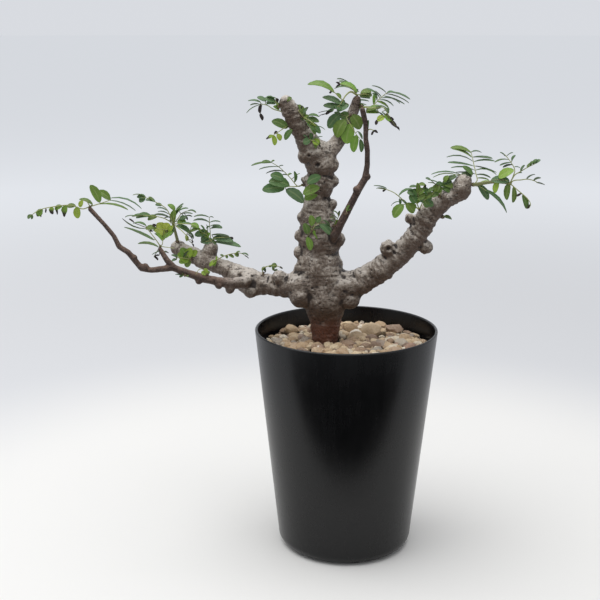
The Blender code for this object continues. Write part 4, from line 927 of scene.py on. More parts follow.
class SennaStageSettings(bpy.types.PropertyGroup):
    """Colours of the floor and of the light."""
    floor_colour: colour_setting("Floor", "Colour of the floor near the pot", 0.86, 0.855, 0.835)
    far_colour: colour_setting("Far floor", "Colour of the floor further away", 0.70, 0.71, 0.73)
    far_glow: colour_setting("Far glow", "Light that lifts the far floor to the surroundings' tone",
                             0.32, 0.335, 0.355)
    sky: colour_setting("Surroundings", "Colour of the light all round, as it is seen", 0.69, 0.71, 0.75)
    fill: colour_setting("Fill light", "Colour of the light that reaches dull surfaces from all round",
                         0.50, 0.505, 0.52)
    softbox_power: FloatProperty(
        name="Overhead light", description="Power of the large light above, in watts", default=14.0,
        min=0)


# The pot

DRAIN_HOLES = 6
DRAIN_RADIUS = 2.6 * MM
DRAIN_CIRCLE = 20 * MM
DRAIN_SIDES = 24
FLOOR_TOP = 4 * MM
FOOT_RADIUS = 33.1 * MM
FOOT_WIDTH = 3 * MM
RECESS = 2 * MM
CENTRE_PAD = 8 * MM
INNER_CURVE = 5 * MM
POT_SHARP_ANGLE = math.radians(35)


def wall_radius(pot, z):
    """The pot's outer radius at a height."""
    return pot.base_radius + (pot.rim_radius - pot.base_radius) * z / pot.height


def inner_radius(pot, z):
    """The radius of the space inside the pot at a height."""
    return wall_radius(pot, z) - pot.wall


def pot_mesh(pot):
    """The pot's shell with its rounded lip, foot ring and centre pad."""
    ring_inside = FOOT_RADIUS - FOOT_WIDTH
    corner_centre = (wall_radius(pot, pot.base_corner) - pot.base_corner, pot.base_corner)
    lip_centre = (pot.rim_radius - pot.wall / 2, pot.height - pot.wall / 2)
    curve_top = FLOOR_TOP + INNER_CURVE
    curve_centre = (inner_radius(pot, curve_top) - INNER_CURVE, curve_top)
    profile = [(0, 0), (CENTRE_PAD, 0), (CENTRE_PAD, RECESS), (ring_inside, RECESS), (ring_inside, 0),
               (FOOT_RADIUS, 0)]
    profile += arc(corner_centre, pot.base_corner, start=-75, end=0, steps=10)
    profile += arc(lip_centre, pot.wall / 2, start=0, end=180, steps=8)
    profile += arc(curve_centre, INNER_CURVE, start=0, end=-90, steps=6)
    profile += [(0, FLOOR_TOP)]
    return turned(profile, pot.segments)


def drill_mesh():
    """A ring of drills that pass through the pot's floor."""
    drill = bmesh.new()
    for hole in range(DRAIN_HOLES):
        angle = 2 * math.pi * (hole + 0.5) / DRAIN_HOLES
        place = Vector((math.cos(angle) * DRAIN_CIRCLE, math.sin(angle) * DRAIN_CIRCLE, FLOOR_TOP / 2))
        bmesh.ops.create_cone(drill, cap_ends=True, segments=DRAIN_SIDES, radius1=DRAIN_RADIUS,
                              radius2=DRAIN_RADIUS, depth=3 * FLOOR_TOP,
                              matrix=Matrix.Translation(place))
    return drill


class SENNA_OT_pot(bpy.types.Operator):
    """Make the tapering black pot with its drain holes"""
    bl_idname = "senna.pot"
    bl_label = "Pot"

    def execute(self, context):
        settings = context.scene.senna_pot
        pot = new_piece("pot_shell", pot_mesh(settings), plastic_material(settings))
        drills = new_piece("drain_drills", drill_mesh())
        cut = pot.modifiers.new("Drain holes", "BOOLEAN")
        cut.operation = "DIFFERENCE"
        cut.object = drills
        settle(pot)
        bpy.data.objects.remove(drills)
        hand_over(pot, "pot")
        pot.data.set_sharp_from_angle(angle=POT_SHARP_ANGLE)
        return {"FINISHED"}


class SENNA_OT_potting_mix(bpy.types.Operator):
    """Give the potting mix its crumbly finish"""
    bl_idname = "senna.potting_mix"
    bl_label = "Potting mix"

    def execute(self, context):
        crumb = mix_material()
        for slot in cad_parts["potting_mix"].material_slots:
            slot.material = crumb
        return {"FINISHED"}


# The grit

GRIT_SEED = 7
BED_GAP = 0.6 * MM
BED_SEGMENTS = 64
GRIT_SHARP_ANGLE = math.radians(38)

# Pebbles placed one by one, each (x, y, z, radius, tone)
BOULDERS = [(16, 19, 124.2, 7, 0.6), (3.5, 25, 124, 5, 0.25), (30, 22, 124, 5, 0.1),
            (-32, 22, 123.5, 5, 0.3)]

# Scattered stones in three sizes: the range of their radii, and how far their middles stand above
# the bed, as a share of the radius. The largest keep clear of the wall
PEBBLES = 60
PEBBLE_RADIUS = (3.9, 5.2)
PEBBLE_LIFT = 0.3
PEBBLE_CLEARANCE = 1.2 * MM
GRAVEL_RADIUS = (2.3, 3.4)
GRAVEL_LIFT = 0.55
FINES_RADIUS = (1.2, 2.1)
FINES_LIFT = 1.0
LIFT_SPREAD = (0.6, 1.3)
TURN_SPREAD = 0.05
GOLDEN_ANGLE = math.pi * (3 - math.sqrt(5))

# How near a scattered stone may come to a listed pebble, as a share of both radii, and to
# the stem, as a clearance and a share of the stone's own radius
BOULDER_SHARE = 0.75
STEM_SHARE = 0.7
STEM_PLACE = Vector((-12, 4)) * MM
STEM_CLEARANCE = 7.0 * MM

STONE_STRETCH = ((0.9, 1.2), (0.75, 1), (0.6, 0.8))
STONE_LEAN = 0.3

# Worn lumps and chipped facets: how fine their patterns are and how high they stand
STONE_ROUGHNESS = 0.2
LUMP_FINENESS = 1.3
LUMP_HEIGHT = 1.6
CHIP_FINENESS = 1.1
CHIP_HEIGHT = 0.5


def add_stone(bm, layers, draw, place, size, tone):
    """A worn, faceted pebble."""
    stone = bmesh.ops.create_icosphere(bm, subdivisions=2, radius=size)["verts"]
    offset = any_offset(draw)
    for vert in stone:
        lump = noise.noise(vert.co / size * LUMP_FINENESS + offset)
        chip = noise.cell(vert.co / size * CHIP_FINENESS + offset)
        vert.co *= 1 + STONE_ROUGHNESS * (LUMP_HEIGHT * lump + CHIP_HEIGHT * (chip - 0.5))
        vert[layers["tone"]] = tone
    squash = Matrix.Diagonal([draw.uniform(*limits) for limits in STONE_STRETCH] + [1])
    turn = Matrix.Rotation(draw.uniform(0, math.pi), 4, "Z")
    lean = Matrix.Rotation(draw.uniform(-STONE_LEAN, STONE_LEAN), 4, "X")
    bmesh.ops.transform(bm, matrix=Matrix.Translation(place) @ turn @ lean @ squash, verts=stone)


def has_room(place, size):
    """Whether a stone there keeps off the stem and off the listed pebbles."""
    for x, y, z, radius, tone in BOULDERS:
        if (place.xy - Vector((x, y)) * MM).length <= (radius * MM + size) * BOULDER_SHARE:
            return False
    return (place.xy - STEM_PLACE).length > STEM_CLEARANCE + size * STEM_SHARE


def scatter(bm, layers, draw, grit, bed_radius, count, radii, lift, clearance=0.0):
    """Stones of one size, spread evenly over the bed in a spiral."""
    for index in range(count):
        size = draw.uniform(*radii) * MM
        reach = (bed_radius - size - clearance) * math.sqrt((index + 0.5) / count)
        angle = index * GOLDEN_ANGLE + draw.uniform(-TURN_SPREAD, TURN_SPREAD)
        height = grit.crown + (grit.edge - grit.crown) * reach / bed_radius
        height += size * lift * draw.uniform(*LIFT_SPREAD)
        place = Vector((reach * math.cos(angle), reach * math.sin(angle), height))
        tone = draw.random()
        if has_room(place, size):
            add_stone(bm, layers, draw, place, size, tone)


class SENNA_OT_grit(bpy.types.Operator):
    """Make the bed of grit with loose stones of three sizes on it"""
    bl_idname = "senna.grit"
    bl_label = "Grit"

    def execute(self, context):
        grit = context.scene.senna_grit
        draw = random.Random(GRIT_SEED)
        radius = inner_radius(context.scene.senna_pot, grit.bottom) - BED_GAP
        bm = turned([(0, grit.bottom), (radius, grit.bottom), (radius, grit.edge),
                     (radius * 0.75, grit.edge + 0.5 * MM), (radius * 0.5, grit.crown - MM),
                     (radius * 0.25, grit.crown - 0.3 * MM), (0, grit.crown)], BED_SEGMENTS)
        layers = {name: bm.verts.layers.float.new(name) for name in ("tone", "bed")}
        for vert in bm.verts:
            vert[layers["bed"]] = 1
        for x, y, z, size, tone in BOULDERS:
            add_stone(bm, layers, draw, Vector((x, y, z)) * MM, size * MM, tone)
        scatter(bm, layers, draw, grit, radius, PEBBLES, PEBBLE_RADIUS, PEBBLE_LIFT, PEBBLE_CLEARANCE)
        scatter(bm, layers, draw, grit, radius, grit.gravel, GRAVEL_RADIUS, GRAVEL_LIFT)
        scatter(bm, layers, draw, grit, radius, grit.fines, FINES_RADIUS, FINES_LIFT)
        piece = new_piece("grit_stones", bm, stone_material(grit))
        hand_over(piece, "grit")
        piece.data.set_sharp_from_angle(angle=GRIT_SHARP_ANGLE)
        return {"FINISHED"}


# The wood

LIMB_SIDES = 24
THICK_SMOOTHING = 20
THIN_SMOOTHING = 2
FAR = 1e9
LIMB_SPACING = 40
BLEND_WIDTH = 2.5

# Relief grows with a limb's radius, from its least at the thin radius, and smooth young bark gives
# way to old bark just below the young radius
THIN_GIRTH = 1.5
STOUT_GAIN = 3.5
LEAST_RELIEF = 0.12
YOUNG_GIRTH = 3.5

# How fine the bark's patterns are, in features per millimetre
BROAD_LUMPS = 0.17
SMALL_LUMPS = 0.41
RINGS_ALONG = 0.62
RINGS_SLANT = 0.3
RINGS_ROUND = 0.13
FOLDS = 0.33
CRACKS = 1.1
PITS = 0.3

# How much of the wrinkles' depth comes from rings, folds and cracks
RING_SHARE = 0.9
FOLD_SHARE = 0.2
CRACK_SHARE = 0.2
MEAN_FOLD = 1.2

# Pits lie in the cells whose draw is over the threshold, and a higher draw makes a wider pit
PIT_THRESHOLD = 0.4
PIT_SIZE = 0.14

# A crater's lip, in shares of the crater's radius and depth
LIP_RADIUS = 1.15
LIP_WIDTH = 0.3
LIP_HEIGHT = 0.3

# How far below the evened-out skin a crease starts and how much deeper it is at its darkest, in
# millimetres, and how dark the painted shade in creases and pits may get
EVENING_ROUNDS = 30
SOFTENING_ROUNDS = 2
CREASE_START = 0.03
CREASE_SPAN = 0.19
CREASE_DARKNESS = 0.95
PIT_DARKNESS = 0.9


def add_ball(bm, place, radius):
    """A ball in a bmesh of limbs."""
    bmesh.ops.create_icosphere(bm, subdivisions=3, radius=radius * MM,
                               matrix=Matrix.Translation(Vector(place) * MM))


def add_limb(bm, run):
    """A limb: a ball at each point of the run and a tapering length from each to the next."""
    for *place, radius in run:
        add_ball(bm, place, radius)
    for first, second in zip(run, run[1:]):
        start = Vector(first[:3])
        step = Vector(second[:3]) - start
        turn = step.to_track_quat("Z", "Y").to_matrix().to_4x4()
        bmesh.ops.create_cone(bm, cap_ends=True, segments=LIMB_SIDES, radius1=first[3] * MM,
                              radius2=second[3] * MM, depth=step.length * MM,
                              matrix=Matrix.Translation((start + step / 2) * MM) @ turn)


def add_limbs(bm, runs, knobs):
    """Limbs with the knobs on them."""
    for run in runs:
        add_limb(bm, run)
    for *place, radius in knobs:
        add_ball(bm, place, radius)


def blend(piece, voxel, smoothing):
    """Blend what overlaps in the piece into one skin and soften it."""
    remesh = piece.modifiers.new("Blend", "REMESH")
    remesh.mode = "VOXEL"
    remesh.voxel_size = voxel
    soften = piece.modifiers.new("Soften", "SMOOTH")
    soften.iterations = smoothing
    settle(piece)


def limb_coordinates(points):
    """For each point: how far along its nearest limb it lies, its way out from the limb's middle,
    how clearly that limb is the nearest, and the limb's radius there."""
    nearest = np.full(len(points), FAR)
    second = np.full(len(points), FAR)
    along = np.zeros(len(points))
    outward = np.zeros((len(points), 3))
    girth = np.ones(len(points))
    travelled = 0.0
    for run in THICK_LIMBS + THIN_LIMBS:
        limb_nearest = np.full(len(points), FAR)
        limb_along = np.zeros(len(points))
        limb_outward = np.zeros((len(points), 3))
        limb_girth = np.ones(len(points))
        for first, last in zip(run, run[1:]):
            start = np.array(first[:3], float)
            step = np.array(last[:3], float) - start
            length = np.linalg.norm(step)
            share = np.clip((points - start) @ step / length ** 2, 0, 1)
            out = points - start - share[:, None] * step
            radius = first[3] + (last[3] - first[3]) * share
            depth = np.linalg.norm(out, axis=1) - radius
            closer = depth < limb_nearest
            limb_nearest[closer] = depth[closer]
            limb_along[closer] = travelled + length * share[closer]
            limb_outward[closer] = out[closer]
            limb_girth[closer] = radius[closer]
            travelled += length
        travelled += LIMB_SPACING
        closer = limb_nearest < nearest
        second = np.where(closer, nearest, np.minimum(second, limb_nearest))
        nearest[closer] = limb_nearest[closer]
        along[closer] = limb_along[closer]
        outward[closer] = limb_outward[closer]
        girth[closer] = limb_girth[closer]
    return along, outward, np.clip((second - nearest) / BLEND_WIDTH, 0, 1), girth


def smoothed(values, first, last, rounds):
    """Values at the mesh's corners, evened out along its edges."""
    links = np.zeros(len(values))
    np.add.at(links, first, 1)
    np.add.at(links, last, 1)
    links = links.reshape([-1] + [1] * (values.ndim - 1))
    for _ in range(rounds):
        total = np.zeros_like(values)
        np.add.at(total, first, values[last])
        np.add.at(total, last, values[first])
        values = 0.5 * values + 0.5 * total / links
    return values


def vertex_vectors(mesh, key):
    """The positions or normals of a mesh's corners."""
    values = np.empty(len(mesh.vertices) * 3)
    mesh.vertices.foreach_get(key, values)
    return values.reshape(-1, 3)


def bark_rise(place, out, travel, clear, wood):
    """How far lumps, rings round the limb, folds and cracks raise the bark at a place."""
    lump = noise.noise(place * BROAD_LUMPS) + 0.5 * noise.noise(place * SMALL_LUMPS)
    ring_x = out[0] * RINGS_ROUND + travel * RINGS_ALONG
    ring_y = out[1] * RINGS_ROUND + travel * RINGS_SLANT
    ring = noise.noise(Vector((ring_x, ring_y, out[2] * RINGS_ROUND)))
    fold = noise.ridged_multi_fractal(place * FOLDS, 0.8, 2.1, 3, 0.8, 1.6) - MEAN_FOLD
    crack = noise.noise(place * CRACKS)
    wrinkle = ring * RING_SHARE * clear - fold * FOLD_SHARE + crack * CRACK_SHARE
    return (lump * wood.lump + wrinkle * wood.wrinkle) / MM


def pit_share(place):
    """How much of a pit's depth a place has, in the scattered cells that hold a pit."""
    gaps, spots = noise.voronoi(place * PITS)
    chance = noise.cell(spots[0] * 7.3)
    if chance <= PIT_THRESHOLD:
        return 0.0
    pit = max(0.0, 1 - gaps[0] / (PIT_SIZE + PIT_SIZE * chance))
    return pit * pit * (3 - 2 * pit)


def press_craters(points, rise, pitted):
    """Press the craters into the rise of the bark, each with a raised lip."""
    for *place, radius, depth in CRATERS:
        away = np.linalg.norm(points - np.array(place, float), axis=1) / radius
        bowl = np.clip(1 - away ** 2, 0, 1)
        lip = np.exp(-((away - LIP_RADIUS) / LIP_WIDTH) ** 2)
        rise += lip * depth * LIP_HEIGHT - bowl * depth
        np.maximum(pitted, bowl, out=pitted)


def hollow_shading(mesh, points, normals, pitted):
    """How much painted shade each corner gets for lying in a crease or a pit, from 0 to 1."""
    edges = np.empty(len(mesh.edges) * 2, int)
    mesh.edges.foreach_get("vertices", edges)
    first, last = edges.reshape(-1, 2).T
    even = smoothed(points, first, last, EVENING_ROUNDS)
    sunk = ((even - points) * normals).sum(axis=1)
    wide = smoothed(sunk, first, last, SOFTENING_ROUNDS)
    crease = np.clip((wide - CREASE_START) / CREASE_SPAN, 0, 1)
    return np.clip(crease * CREASE_DARKNESS + pitted * PIT_DARKNESS, 0, 1)


def carve_bark(piece, wood):
    """Raise lumps and wrinkles in the skin, press in pits and craters, and note the hollows, for the
    shade painted into them, and the young twigs for the bark's colours."""
    mesh = piece.data
    points = vertex_vectors(mesh, "co") / MM
    normals = vertex_vectors(mesh, "normal")
    along, outward, clear, girth = limb_coordinates(points)
    stout = np.clip((girth - THIN_GIRTH) / STOUT_GAIN, LEAST_RELIEF, 1)
    places = [Vector(point) for point in points]
    rise = np.array([bark_rise(place, out, travel, share, wood)
                     for place, out, travel, share in zip(places, outward, along, clear)])
    pitted = np.array([pit_share(place) for place in places])
    rise = rise * stout - pitted * wood.pit / MM * stout
    press_craters(points, rise, pitted)
    points = points + normals * rise[:, None]
    hollow_shade = hollow_shading(mesh, points, normals, pitted)
    young = np.clip(YOUNG_GIRTH - girth, 0, 1)
    mesh.vertices.foreach_set("co", (points * MM).ravel())
    for name, values in (("hollow_shade", hollow_shade), ("young", young)):
        layer = mesh.attributes.new(name, "FLOAT", "POINT")
        layer.data.foreach_set("value", values.astype(np.float32))
    mesh.update()


class SENNA_OT_wood(bpy.types.Operator):
    """Make the wood: root, knobbly stem, boughs, forks and twigs in one skin of wrinkled bark"""
    bl_idname = "senna.wood"
    bl_label = "Wood"

    def execute(self, context):
        wood = context.scene.senna_wood
        bm = bmesh.new()
        add_limbs(bm, THICK_LIMBS, KNOBS)
        piece = new_piece("wood_bark", bm)
        blend(piece, wood.voxel, THICK_SMOOTHING)
        bm = bmesh.new()
        bm.from_mesh(piece.data)
        add_limbs(bm, THIN_LIMBS, TWIG_KNOBS)
        bm.to_mesh(piece.data)
        bm.free()
        blend(piece, wood.voxel, THIN_SMOOTHING)
        carve_bark(piece, wood)
        piece.data.materials.clear()
        piece.data.materials.append(bark_material(wood))
        hand_over(piece, "wood")
        return {"FINISHED"}


# The leaves

RUN_STEPS = 5
STEM_SIDES = 6
LEAF_SHARP_ANGLE = math.radians(50)

SPUR_LIFT = 0.4
SPUR_BUDS = 5
SPUR_RADIUS = (0.7, 1.2)
SPUR_TONE = 0.05
BUD_SPREAD = 0.6
BUD_SHARE = (0.55, 0.8)
SHOOT_RADIUS = (1.0, 0.75)
SHOOT_TONE = 0.4
SHOOT_BUD_RADIUS = 1.0
SHOOT_BUD_TONE = 0.5

STALK_TAPER = 0.6
STALK_TONE_GAIN = 0.35
PETIOLE_RADIUS = 0.2
PETIOLE_GAP = 0.45

BLADE_LENGTHS = 6
BLADE_BREADTHS = 2
BLADE_TWIST = 0.3
BLADE_CURL = (-0.05, 0.09)
BLADE_TONE_SPREAD = 0.05
BLUNTNESS = 0.55
LEAST_BREADTH = 0.09
DRY_FADE = 0.15
DRY_SHRINK = 0.35
DRY_CRUMPLE = 0.35

FIRST_PAIR = 0.3
PAIR_SPLAY = (72, 38)
PAIR_LENGTH = (0.85, 1.05)


def held(value):
    """A value held between 0 and 1."""
    return min(max(value, 0), 1)


def seen_at(x, z, nearer, plane):
    """The place that is read as (x, z) in the plane, moved nearer along the line of sight."""
    place = Vector((x, plane, z))
    return place + (EYE - place) * nearer / (plane - EYE.y)


def read_from(place, plane):
    """How a place is read in the plane: its x and z there, and how much nearer it is."""
    nearer = plane - place.y
    share = nearer / (plane - EYE.y)
    flat = (place - EYE * share) / (1 - share)
    return Vector((flat.x, flat.z, nearer))


def smooth_run(points, steps):
    """Points along a smooth curve through the points given."""
    ends = [2 * points[0] - points[1]] + list(points) + [2 * points[-1] - points[-2]]
    run = [points[0]]
    for before, start, end, after in zip(ends, ends[1:], ends[2:], ends[3:]):
        handles = (start, start + (end - before) / 6, end - (after - start) / 6, end)
        run += interpolate_bezier(*handles, steps + 1)[1:]
    return run


def nearest_on(run, spot):
    """The point of a run of readings that is seen nearest to the spot."""
    best = None
    for start, end in zip(run, run[1:]):
        step = (end - start).xy
        share = (spot - start.xy).dot(step) / max(step.length_squared, 1e-9)
        point = start.lerp(end, held(share))
        if best is None or (point.xy - spot).length < (best.xy - spot).length:
            best = point
    return best


def add_stem(bm, layers, points, first_radius, last_radius, tone):
    """A thin round stem through the points, closed at both ends."""
    steps = [(after - before).normalized() for before, after in zip(points, points[1:])]
    bends = [(before + after).normalized() for before, after in zip(steps, steps[1:])]
    ways = [steps[0]] + bends + [steps[-1]]
    turn = ways[0].to_track_quat("Z", "Y")
    start = Matrix.Translation(points[0] * MM) @ turn.to_matrix().to_4x4()
    made = bmesh.ops.create_circle(bm, cap_ends=True, segments=STEM_SIDES, radius=first_radius * MM,
                                   matrix=start)["verts"]
    foot = list(made)
    ring = [start.inverted() @ vert.co for vert in foot]
    end = foot[0].link_faces[0]
    for index in range(1, len(points)):
        radius = first_radius + (last_radius - first_radius) * index / (len(points) - 1)
        turn = ways[index - 1].rotation_difference(ways[index]) @ turn
        place = Matrix.Translation(points[index] * MM) @ turn.to_matrix().to_4x4()
        shrink = Matrix.Scale(radius / first_radius, 4)
        end = bmesh.ops.extrude_discrete_faces(bm, faces=[end])["faces"][0]
        for vert, corner in zip(end.verts, ring):
            vert.co = place @ shrink @ corner
        made += list(end.verts)
    bm.faces.new(foot)
    for vert in made:
        vert[layers["stem"]] = 1
        vert[layers["tone"]] = tone


def add_blade(bm, layers, root, tip, face, rise, blade, fold, draw):
    """A leaflet: a thin oval, folded along its midrib, arched and a little twisted."""
    way = (tip - root).normalized()
    length = (tip - root).length
    face = (face - way * face.dot(way)).normalized()
    side = face.cross(way)
    twist = draw.uniform(-BLADE_TWIST, BLADE_TWIST)
    curl = draw.uniform(*BLADE_CURL)
    crumple = any_offset(draw)
    tone = held(blade.tone + draw.uniform(-BLADE_TONE_SPREAD, BLADE_TONE_SPREAD))
    flat = bmesh.ops.create_grid(bm, x_segments=BLADE_LENGTHS, y_segments=BLADE_BREADTHS, size=1)
    for vert in flat["verts"]:
        along = (1 - math.cos(math.pi * (vert.co.x + 1) / 2)) / 2
        across = vert.co.y
        hump = 4 * along * (1 - along)
        dry = held((along - 1 + blade.dry) / DRY_FADE + 0.5) if blade.dry else 0
        breadth = max(LEAST_BREADTH, hump ** BLUNTNESS) * blade.width / 2 * (1 - DRY_SHRINK * dry)
        turned_side = side * math.cos(twist * along) + face * math.sin(twist * along)
        turned_face = face * math.cos(twist * along) - side * math.sin(twist * along)
        lift = abs(across) * breadth * fold + curl * length * hump
        place = root + way * length * along + rise * blade.arch * length * hump
        place += turned_side * across * breadth + turned_face * lift
        if dry:
            place += noise.noise_vector(place * 0.9 + crumple) * DRY_CRUMPLE * dry
        vert.co = place * MM
        for name, value in (("tone", tone), ("along", along), ("across", across), ("dry", dry)):
            vert[layers[name]] = value


def facing(way, tilt, towards):
    """The way that a leaflet's face looks and the way that counts as up across it."""
    towards = (towards - way * towards.dot(way)).normalized()
    rise = way.cross(towards).normalized()
    if rise.z < 0:
        rise = -rise
    angle = math.radians(tilt)
    return rise * math.cos(angle) + towards * math.sin(angle), rise


def add_pairs(bm, layers, leaf, run, fold, draw):
    """Plain pairs of leaflets along a stalk, splayed less and less towards its tip."""
    for pair in range(leaf.pairs):
        share = FIRST_PAIR + (1 - FIRST_PAIR) * (pair + 1) / leaf.pairs
        index = min(round(share * (len(run) - 1)), len(run) - 2)
        way = (run[index + 1] - run[index]).normalized()
        face, rise = facing(way, leaf.tilt, EYE - run[index])
        splay = math.radians(PAIR_SPLAY[0] + (PAIR_SPLAY[1] - PAIR_SPLAY[0]) * share)
        for hand in (-1, 1):
            out = way * math.cos(splay) + face.cross(way) * hand * math.sin(splay)
            out -= UP * math.tan(math.radians(leaf.hang))
            tip = run[index] + out.normalized() * leaf.blade * draw.uniform(*PAIR_LENGTH)
            blade = Blade(0, 0, 0, 0, leaf.width, leaf.tilt, leaf.tone)
            add_blade(bm, layers, run[index], tip, face, rise, blade, fold, draw)


def add_leaf(blades, stems, layers, leaf, start, plane, fold, draw):
    """A leaf on its stalk: the leaflets read from the front, then any plain pairs."""
    readings = smooth_run([read_from(start, plane)] + [Vector(point) for point in leaf.path], RUN_STEPS)
    run = [seen_at(*reading, plane) for reading in readings]
    add_stem(stems, layers[1], run, leaf.stalk, leaf.stalk * STALK_TAPER, leaf.tone + STALK_TONE_GAIN)
    for row in leaf.blades:
        blade = Blade(*row)
        spot = Vector((blade.x, blade.z))
        joint = nearest_on(readings, spot)
        root = seen_at(*spot, joint.z, plane)
        tip = seen_at(blade.to_x, blade.to_z, joint.z + blade.nearer, plane)
        if (joint.xy - spot).length > PETIOLE_GAP:
            petiole = [seen_at(*joint, plane), root]
            add_stem(stems, layers[1], petiole, PETIOLE_RADIUS, PETIOLE_RADIUS, leaf.tone)
        face, rise = facing((tip - root).normalized(), blade.tilt, EYE - root)
        add_blade(blades, layers[0], root, tip, face, rise, blade, fold, draw)
    add_pairs(blades, layers[0], leaf, run, fold, draw)


def add_buds(stems, layers, place, radius, tone, draw):
    """A cluster of small rounded buds."""
    for _ in range(SPUR_BUDS):
        spot = place + Vector([draw.uniform(-BUD_SPREAD, BUD_SPREAD) for _ in range(3)]) * radius
        size = radius * draw.uniform(*BUD_SHARE) * MM
        bud = bmesh.ops.create_icosphere(stems, subdivisions=1, radius=size,
                                         matrix=Matrix.Translation(spot * MM))["verts"]
        for vert in bud:
            vert[layers["stem"]] = 1
            vert[layers["tone"]] = tone


def leaf_start(leaf, end, hub, plane, wood_skin):
    """Where a leaf's stalk starts: at the spur or the shoot's end unless it says otherwise."""
    if not leaf.start:
        return end
    if len(leaf.start) == 3:
        return seen_at(*leaf.start, plane)
    beside = seen_at(*leaf.start, read_from(hub, plane).z, plane)
    return wood_skin.find_nearest(beside * MM)[0] / MM


def make_spray(name, spray, wood_skin, settings, finish):
    """A spur with its leaves, and its green shoot with more of them where it has one."""
    draw = random.Random(name)
    blades = bmesh.new()
    stems = bmesh.new()
    layers = [{key: bm.verts.layers.float.new(key) for key in ("tone", "along", "across", "stem", "dry")}
              for bm in (blades, stems)]
    spot, normal, *_ = wood_skin.find_nearest(Vector(spray.near) * MM)
    hub = spot / MM + normal * SPUR_LIFT
    add_buds(stems, layers[1], hub, draw.uniform(*SPUR_RADIUS), SPUR_TONE, draw)
    ends = [(hub, spray.leaves)]
    if spray.shoot:
        shoot = [hub] + [Vector(point) for point in spray.shoot]
        add_stem(stems, layers[1], smooth_run(shoot, RUN_STEPS), *SHOOT_RADIUS, SHOOT_TONE)
        add_buds(stems, layers[1], shoot[-1], SHOOT_BUD_RADIUS, SHOOT_BUD_TONE, draw)
        ends.append((shoot[-1], spray.shoot_leaves))
    for end, leaves in ends:
        for leaf in leaves:
            start = leaf_start(leaf, end, hub, spray.plane, wood_skin)
            add_leaf(blades, stems, layers, leaf, start, spray.plane, settings.leaf_fold, draw)
    bmesh.ops.solidify(blades, geom=list(blades.faces), thickness=settings.leaf_thickness)
    leafage = bpy.data.meshes.new("leafage")
    blades.to_mesh(leafage)
    blades.free()
    stems.from_mesh(leafage)
    bpy.data.meshes.remove(leafage)
    bmesh.ops.recalc_face_normals(stems, faces=list(stems.faces))
    piece = new_piece("spray_" + name.removeprefix("leaves_"), stems, finish)
    hand_over(piece, name)
    piece.data.set_sharp_from_angle(angle=LEAF_SHARP_ANGLE)


class SENNA_OT_leaves(bpy.types.Operator):
    """Grow a spray of leaves in place of each leafy solid"""
    bl_idname = "senna.leaves"
    bl_label = "Leaves"

    def execute(self, context):
        settings = context.scene.senna_leaves
        finish = leaf_material(settings)
        wood = bmesh.new()
        wood.from_mesh(bpy.data.objects["wood_bark"].data)
        wood_skin = BVHTree.FromBMesh(wood)
        wood.free()
        for name, spray in SPRAYS.items():
            make_spray(name, spray, wood_skin, settings, finish)
        return {"FINISHED"}


# The stage, in metres

FLOOR_RADIUS = 30.0
FLOOR_SIDES = 96
FLOOR_FADE = (0.22, 0.42)
GLOW_FADE = (0.4, 1.6)
CARD_PLACE = (0, -0.53, 0.0005)
CARD_SIZE = (1.2, 0.745)
SOFTBOX_PLACE = (-0.25, -0.1, 1.25)
SOFTBOX_SIZE = (1.6, 1.2)
SOFTBOX_LEAN = math.radians(-11)
LENS = 66
SENSOR_WIDTH = 36
CAMERA_TILT = math.radians(75.9)


def floor_material(stage):
    """The pale floor: bright near the pot, and glowing like the surroundings far from it."""
    finish, tree, shader, coordinates = new_material("pale_floor")
    reach = node(tree, "VectorMath", {0: coordinates}, operation="LENGTH").outputs["Value"]
    colour = mixed(tree, ranged(tree, reach, *FLOOR_FADE), stage.floor_colour, stage.far_colour)
    glow = mixed(tree, ranged(tree, reach, *GLOW_FADE), BLACK, stage.far_glow)
    feed(tree, shader, {"Base Color": colour, "Emission Color": glow, "Emission Strength": 1.0,
                        "Roughness": 0.7, "Specular IOR Level": 0.0})
    return finish


def make_floor(stage):
    """The wide pale floor."""
    bm = bmesh.new()
    bmesh.ops.create_circle(bm, cap_ends=True, segments=FLOOR_SIDES, radius=FLOOR_RADIUS)
    floor = new_piece("floor", bm, floor_material(stage))


def make_dark_card():
    """A dark card before the pot that only its reflection shows."""
    bm = bmesh.new()
    bmesh.ops.create_grid(bm, x_segments=1, y_segments=1, size=0.5)
    size = Matrix.Diagonal((*CARD_SIZE, 1, 1))
    bmesh.ops.transform(bm, verts=bm.verts, matrix=Matrix.Translation(CARD_PLACE) @ size)
    finish, tree, shader, coordinates = new_material("dark_card")
    feed(tree, shader, {"Base Color": CARD_BLACK, "Specular IOR Level": 0.0})
    dark_card = new_piece("dark_card", bm, finish)
    for ray in ("camera", "diffuse", "shadow", "transmission"):
        setattr(dark_card, "visible_" + ray, False)


def make_surroundings(stage):
    """Even light from all round, dimmer on dull surfaces than it looks."""
    world = bpy.data.worlds.new("studio")
    world.use_nodes = True
    tree = world.node_tree
    dull = node(tree, "LightPath").outputs["Is Diffuse Ray"]
    feed(tree, tree.nodes["Background"].inputs, {"Color": mixed(tree, dull, stage.sky, stage.fill)})
    bpy.context.scene.world = world


def make_softbox(stage):
    """The large soft light above, a little to the left."""
    lamp = bpy.data.lights.new("softbox", "AREA")
    lamp.shape = "RECTANGLE"
    lamp.size, lamp.size_y = SOFTBOX_SIZE
    lamp.energy = stage.softbox_power
    softbox = bpy.data.objects.new("softbox", lamp)
    softbox.matrix_world = Matrix.Translation(SOFTBOX_PLACE) @ Matrix.Rotation(SOFTBOX_LEAN, 4, "Y")
    bpy.context.scene.collection.objects.link(softbox)


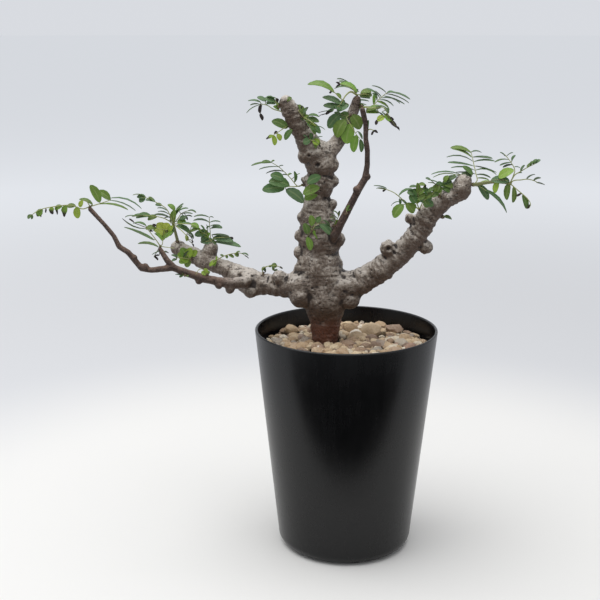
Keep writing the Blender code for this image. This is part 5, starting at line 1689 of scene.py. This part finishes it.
def make_camera():
    """The camera, at the spot that the plant was measured from."""
    view = bpy.data.cameras.new("camera")
    view.lens = LENS
    view.sensor_width = SENSOR_WIDTH
    camera = bpy.data.objects.new("camera", view)
    camera.location = EYE * MM
    camera.rotation_euler = (CAMERA_TILT, 0, 0)
    bpy.context.scene.collection.objects.link(camera)
    bpy.context.scene.camera = camera


class SENNA_OT_stage(bpy.types.Operator):
    """Set the plain pale floor, the soft light and the camera"""
    bl_idname = "senna.stage"
    bl_label = "Stage"

    def execute(self, context):
        stage = context.scene.senna_stage
        context.scene.view_settings.view_transform = "Standard"
        make_floor(stage)
        make_dark_card()
        make_surroundings(stage)
        make_softbox(stage)
        make_camera()
        return {"FINISHED"}


OPERATORS = (SENNA_OT_pot, SENNA_OT_potting_mix, SENNA_OT_grit, SENNA_OT_wood, SENNA_OT_leaves,
             SENNA_OT_stage)
SETTINGS = {"senna_pot": SennaPotSettings, "senna_grit": SennaGritSettings,
            "senna_wood": SennaWoodSettings, "senna_leaves": SennaLeafSettings,
            "senna_stage": SennaStageSettings}


class SENNA_PT_panel(bpy.types.Panel):
    """The senna's sizes, colours and operators"""
    bl_idname = "SENNA_PT_panel"
    bl_label = "Potted senna"
    bl_space_type = "VIEW_3D"
    bl_region_type = "UI"
    bl_category = "Senna"

    def draw(self, context):
        layout = self.layout
        for name in SETTINGS:
            box = layout.box()
            settings = getattr(context.scene, name)
            for key in settings.__annotations__:
                box.prop(settings, key)
        for operator in OPERATORS:
            layout.operator(operator.bl_idname)


def register():
    """Register the classes and hang their settings on the scene."""
    for group in SETTINGS.values():
        bpy.utils.register_class(group)
    for operator in OPERATORS:
        bpy.utils.register_class(operator)
    bpy.utils.register_class(SENNA_PT_panel)
    for name, group in SETTINGS.items():
        setattr(bpy.types.Scene, name, PointerProperty(type=group))


def unregister():
    """Take the settings off the scene and unregister the classes."""
    for name in SETTINGS:
        delattr(bpy.types.Scene, name)
    bpy.utils.unregister_class(SENNA_PT_panel)
    for operator in reversed(OPERATORS):
        bpy.utils.unregister_class(operator)
    for group in reversed(list(SETTINGS.values())):
        bpy.utils.unregister_class(group)


def main():
    """Make the shared effects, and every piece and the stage."""
    register()
    noise.seed_set(NOISE_SEED)
    mottle_group()
    grain_group()
    dust_group()
    bpy.ops.senna.pot()
    bpy.ops.senna.potting_mix()
    bpy.ops.senna.grit()
    bpy.ops.senna.wood()
    bpy.ops.senna.leaves()
    bpy.ops.senna.stage()


if __name__ == "__main__":
    main()
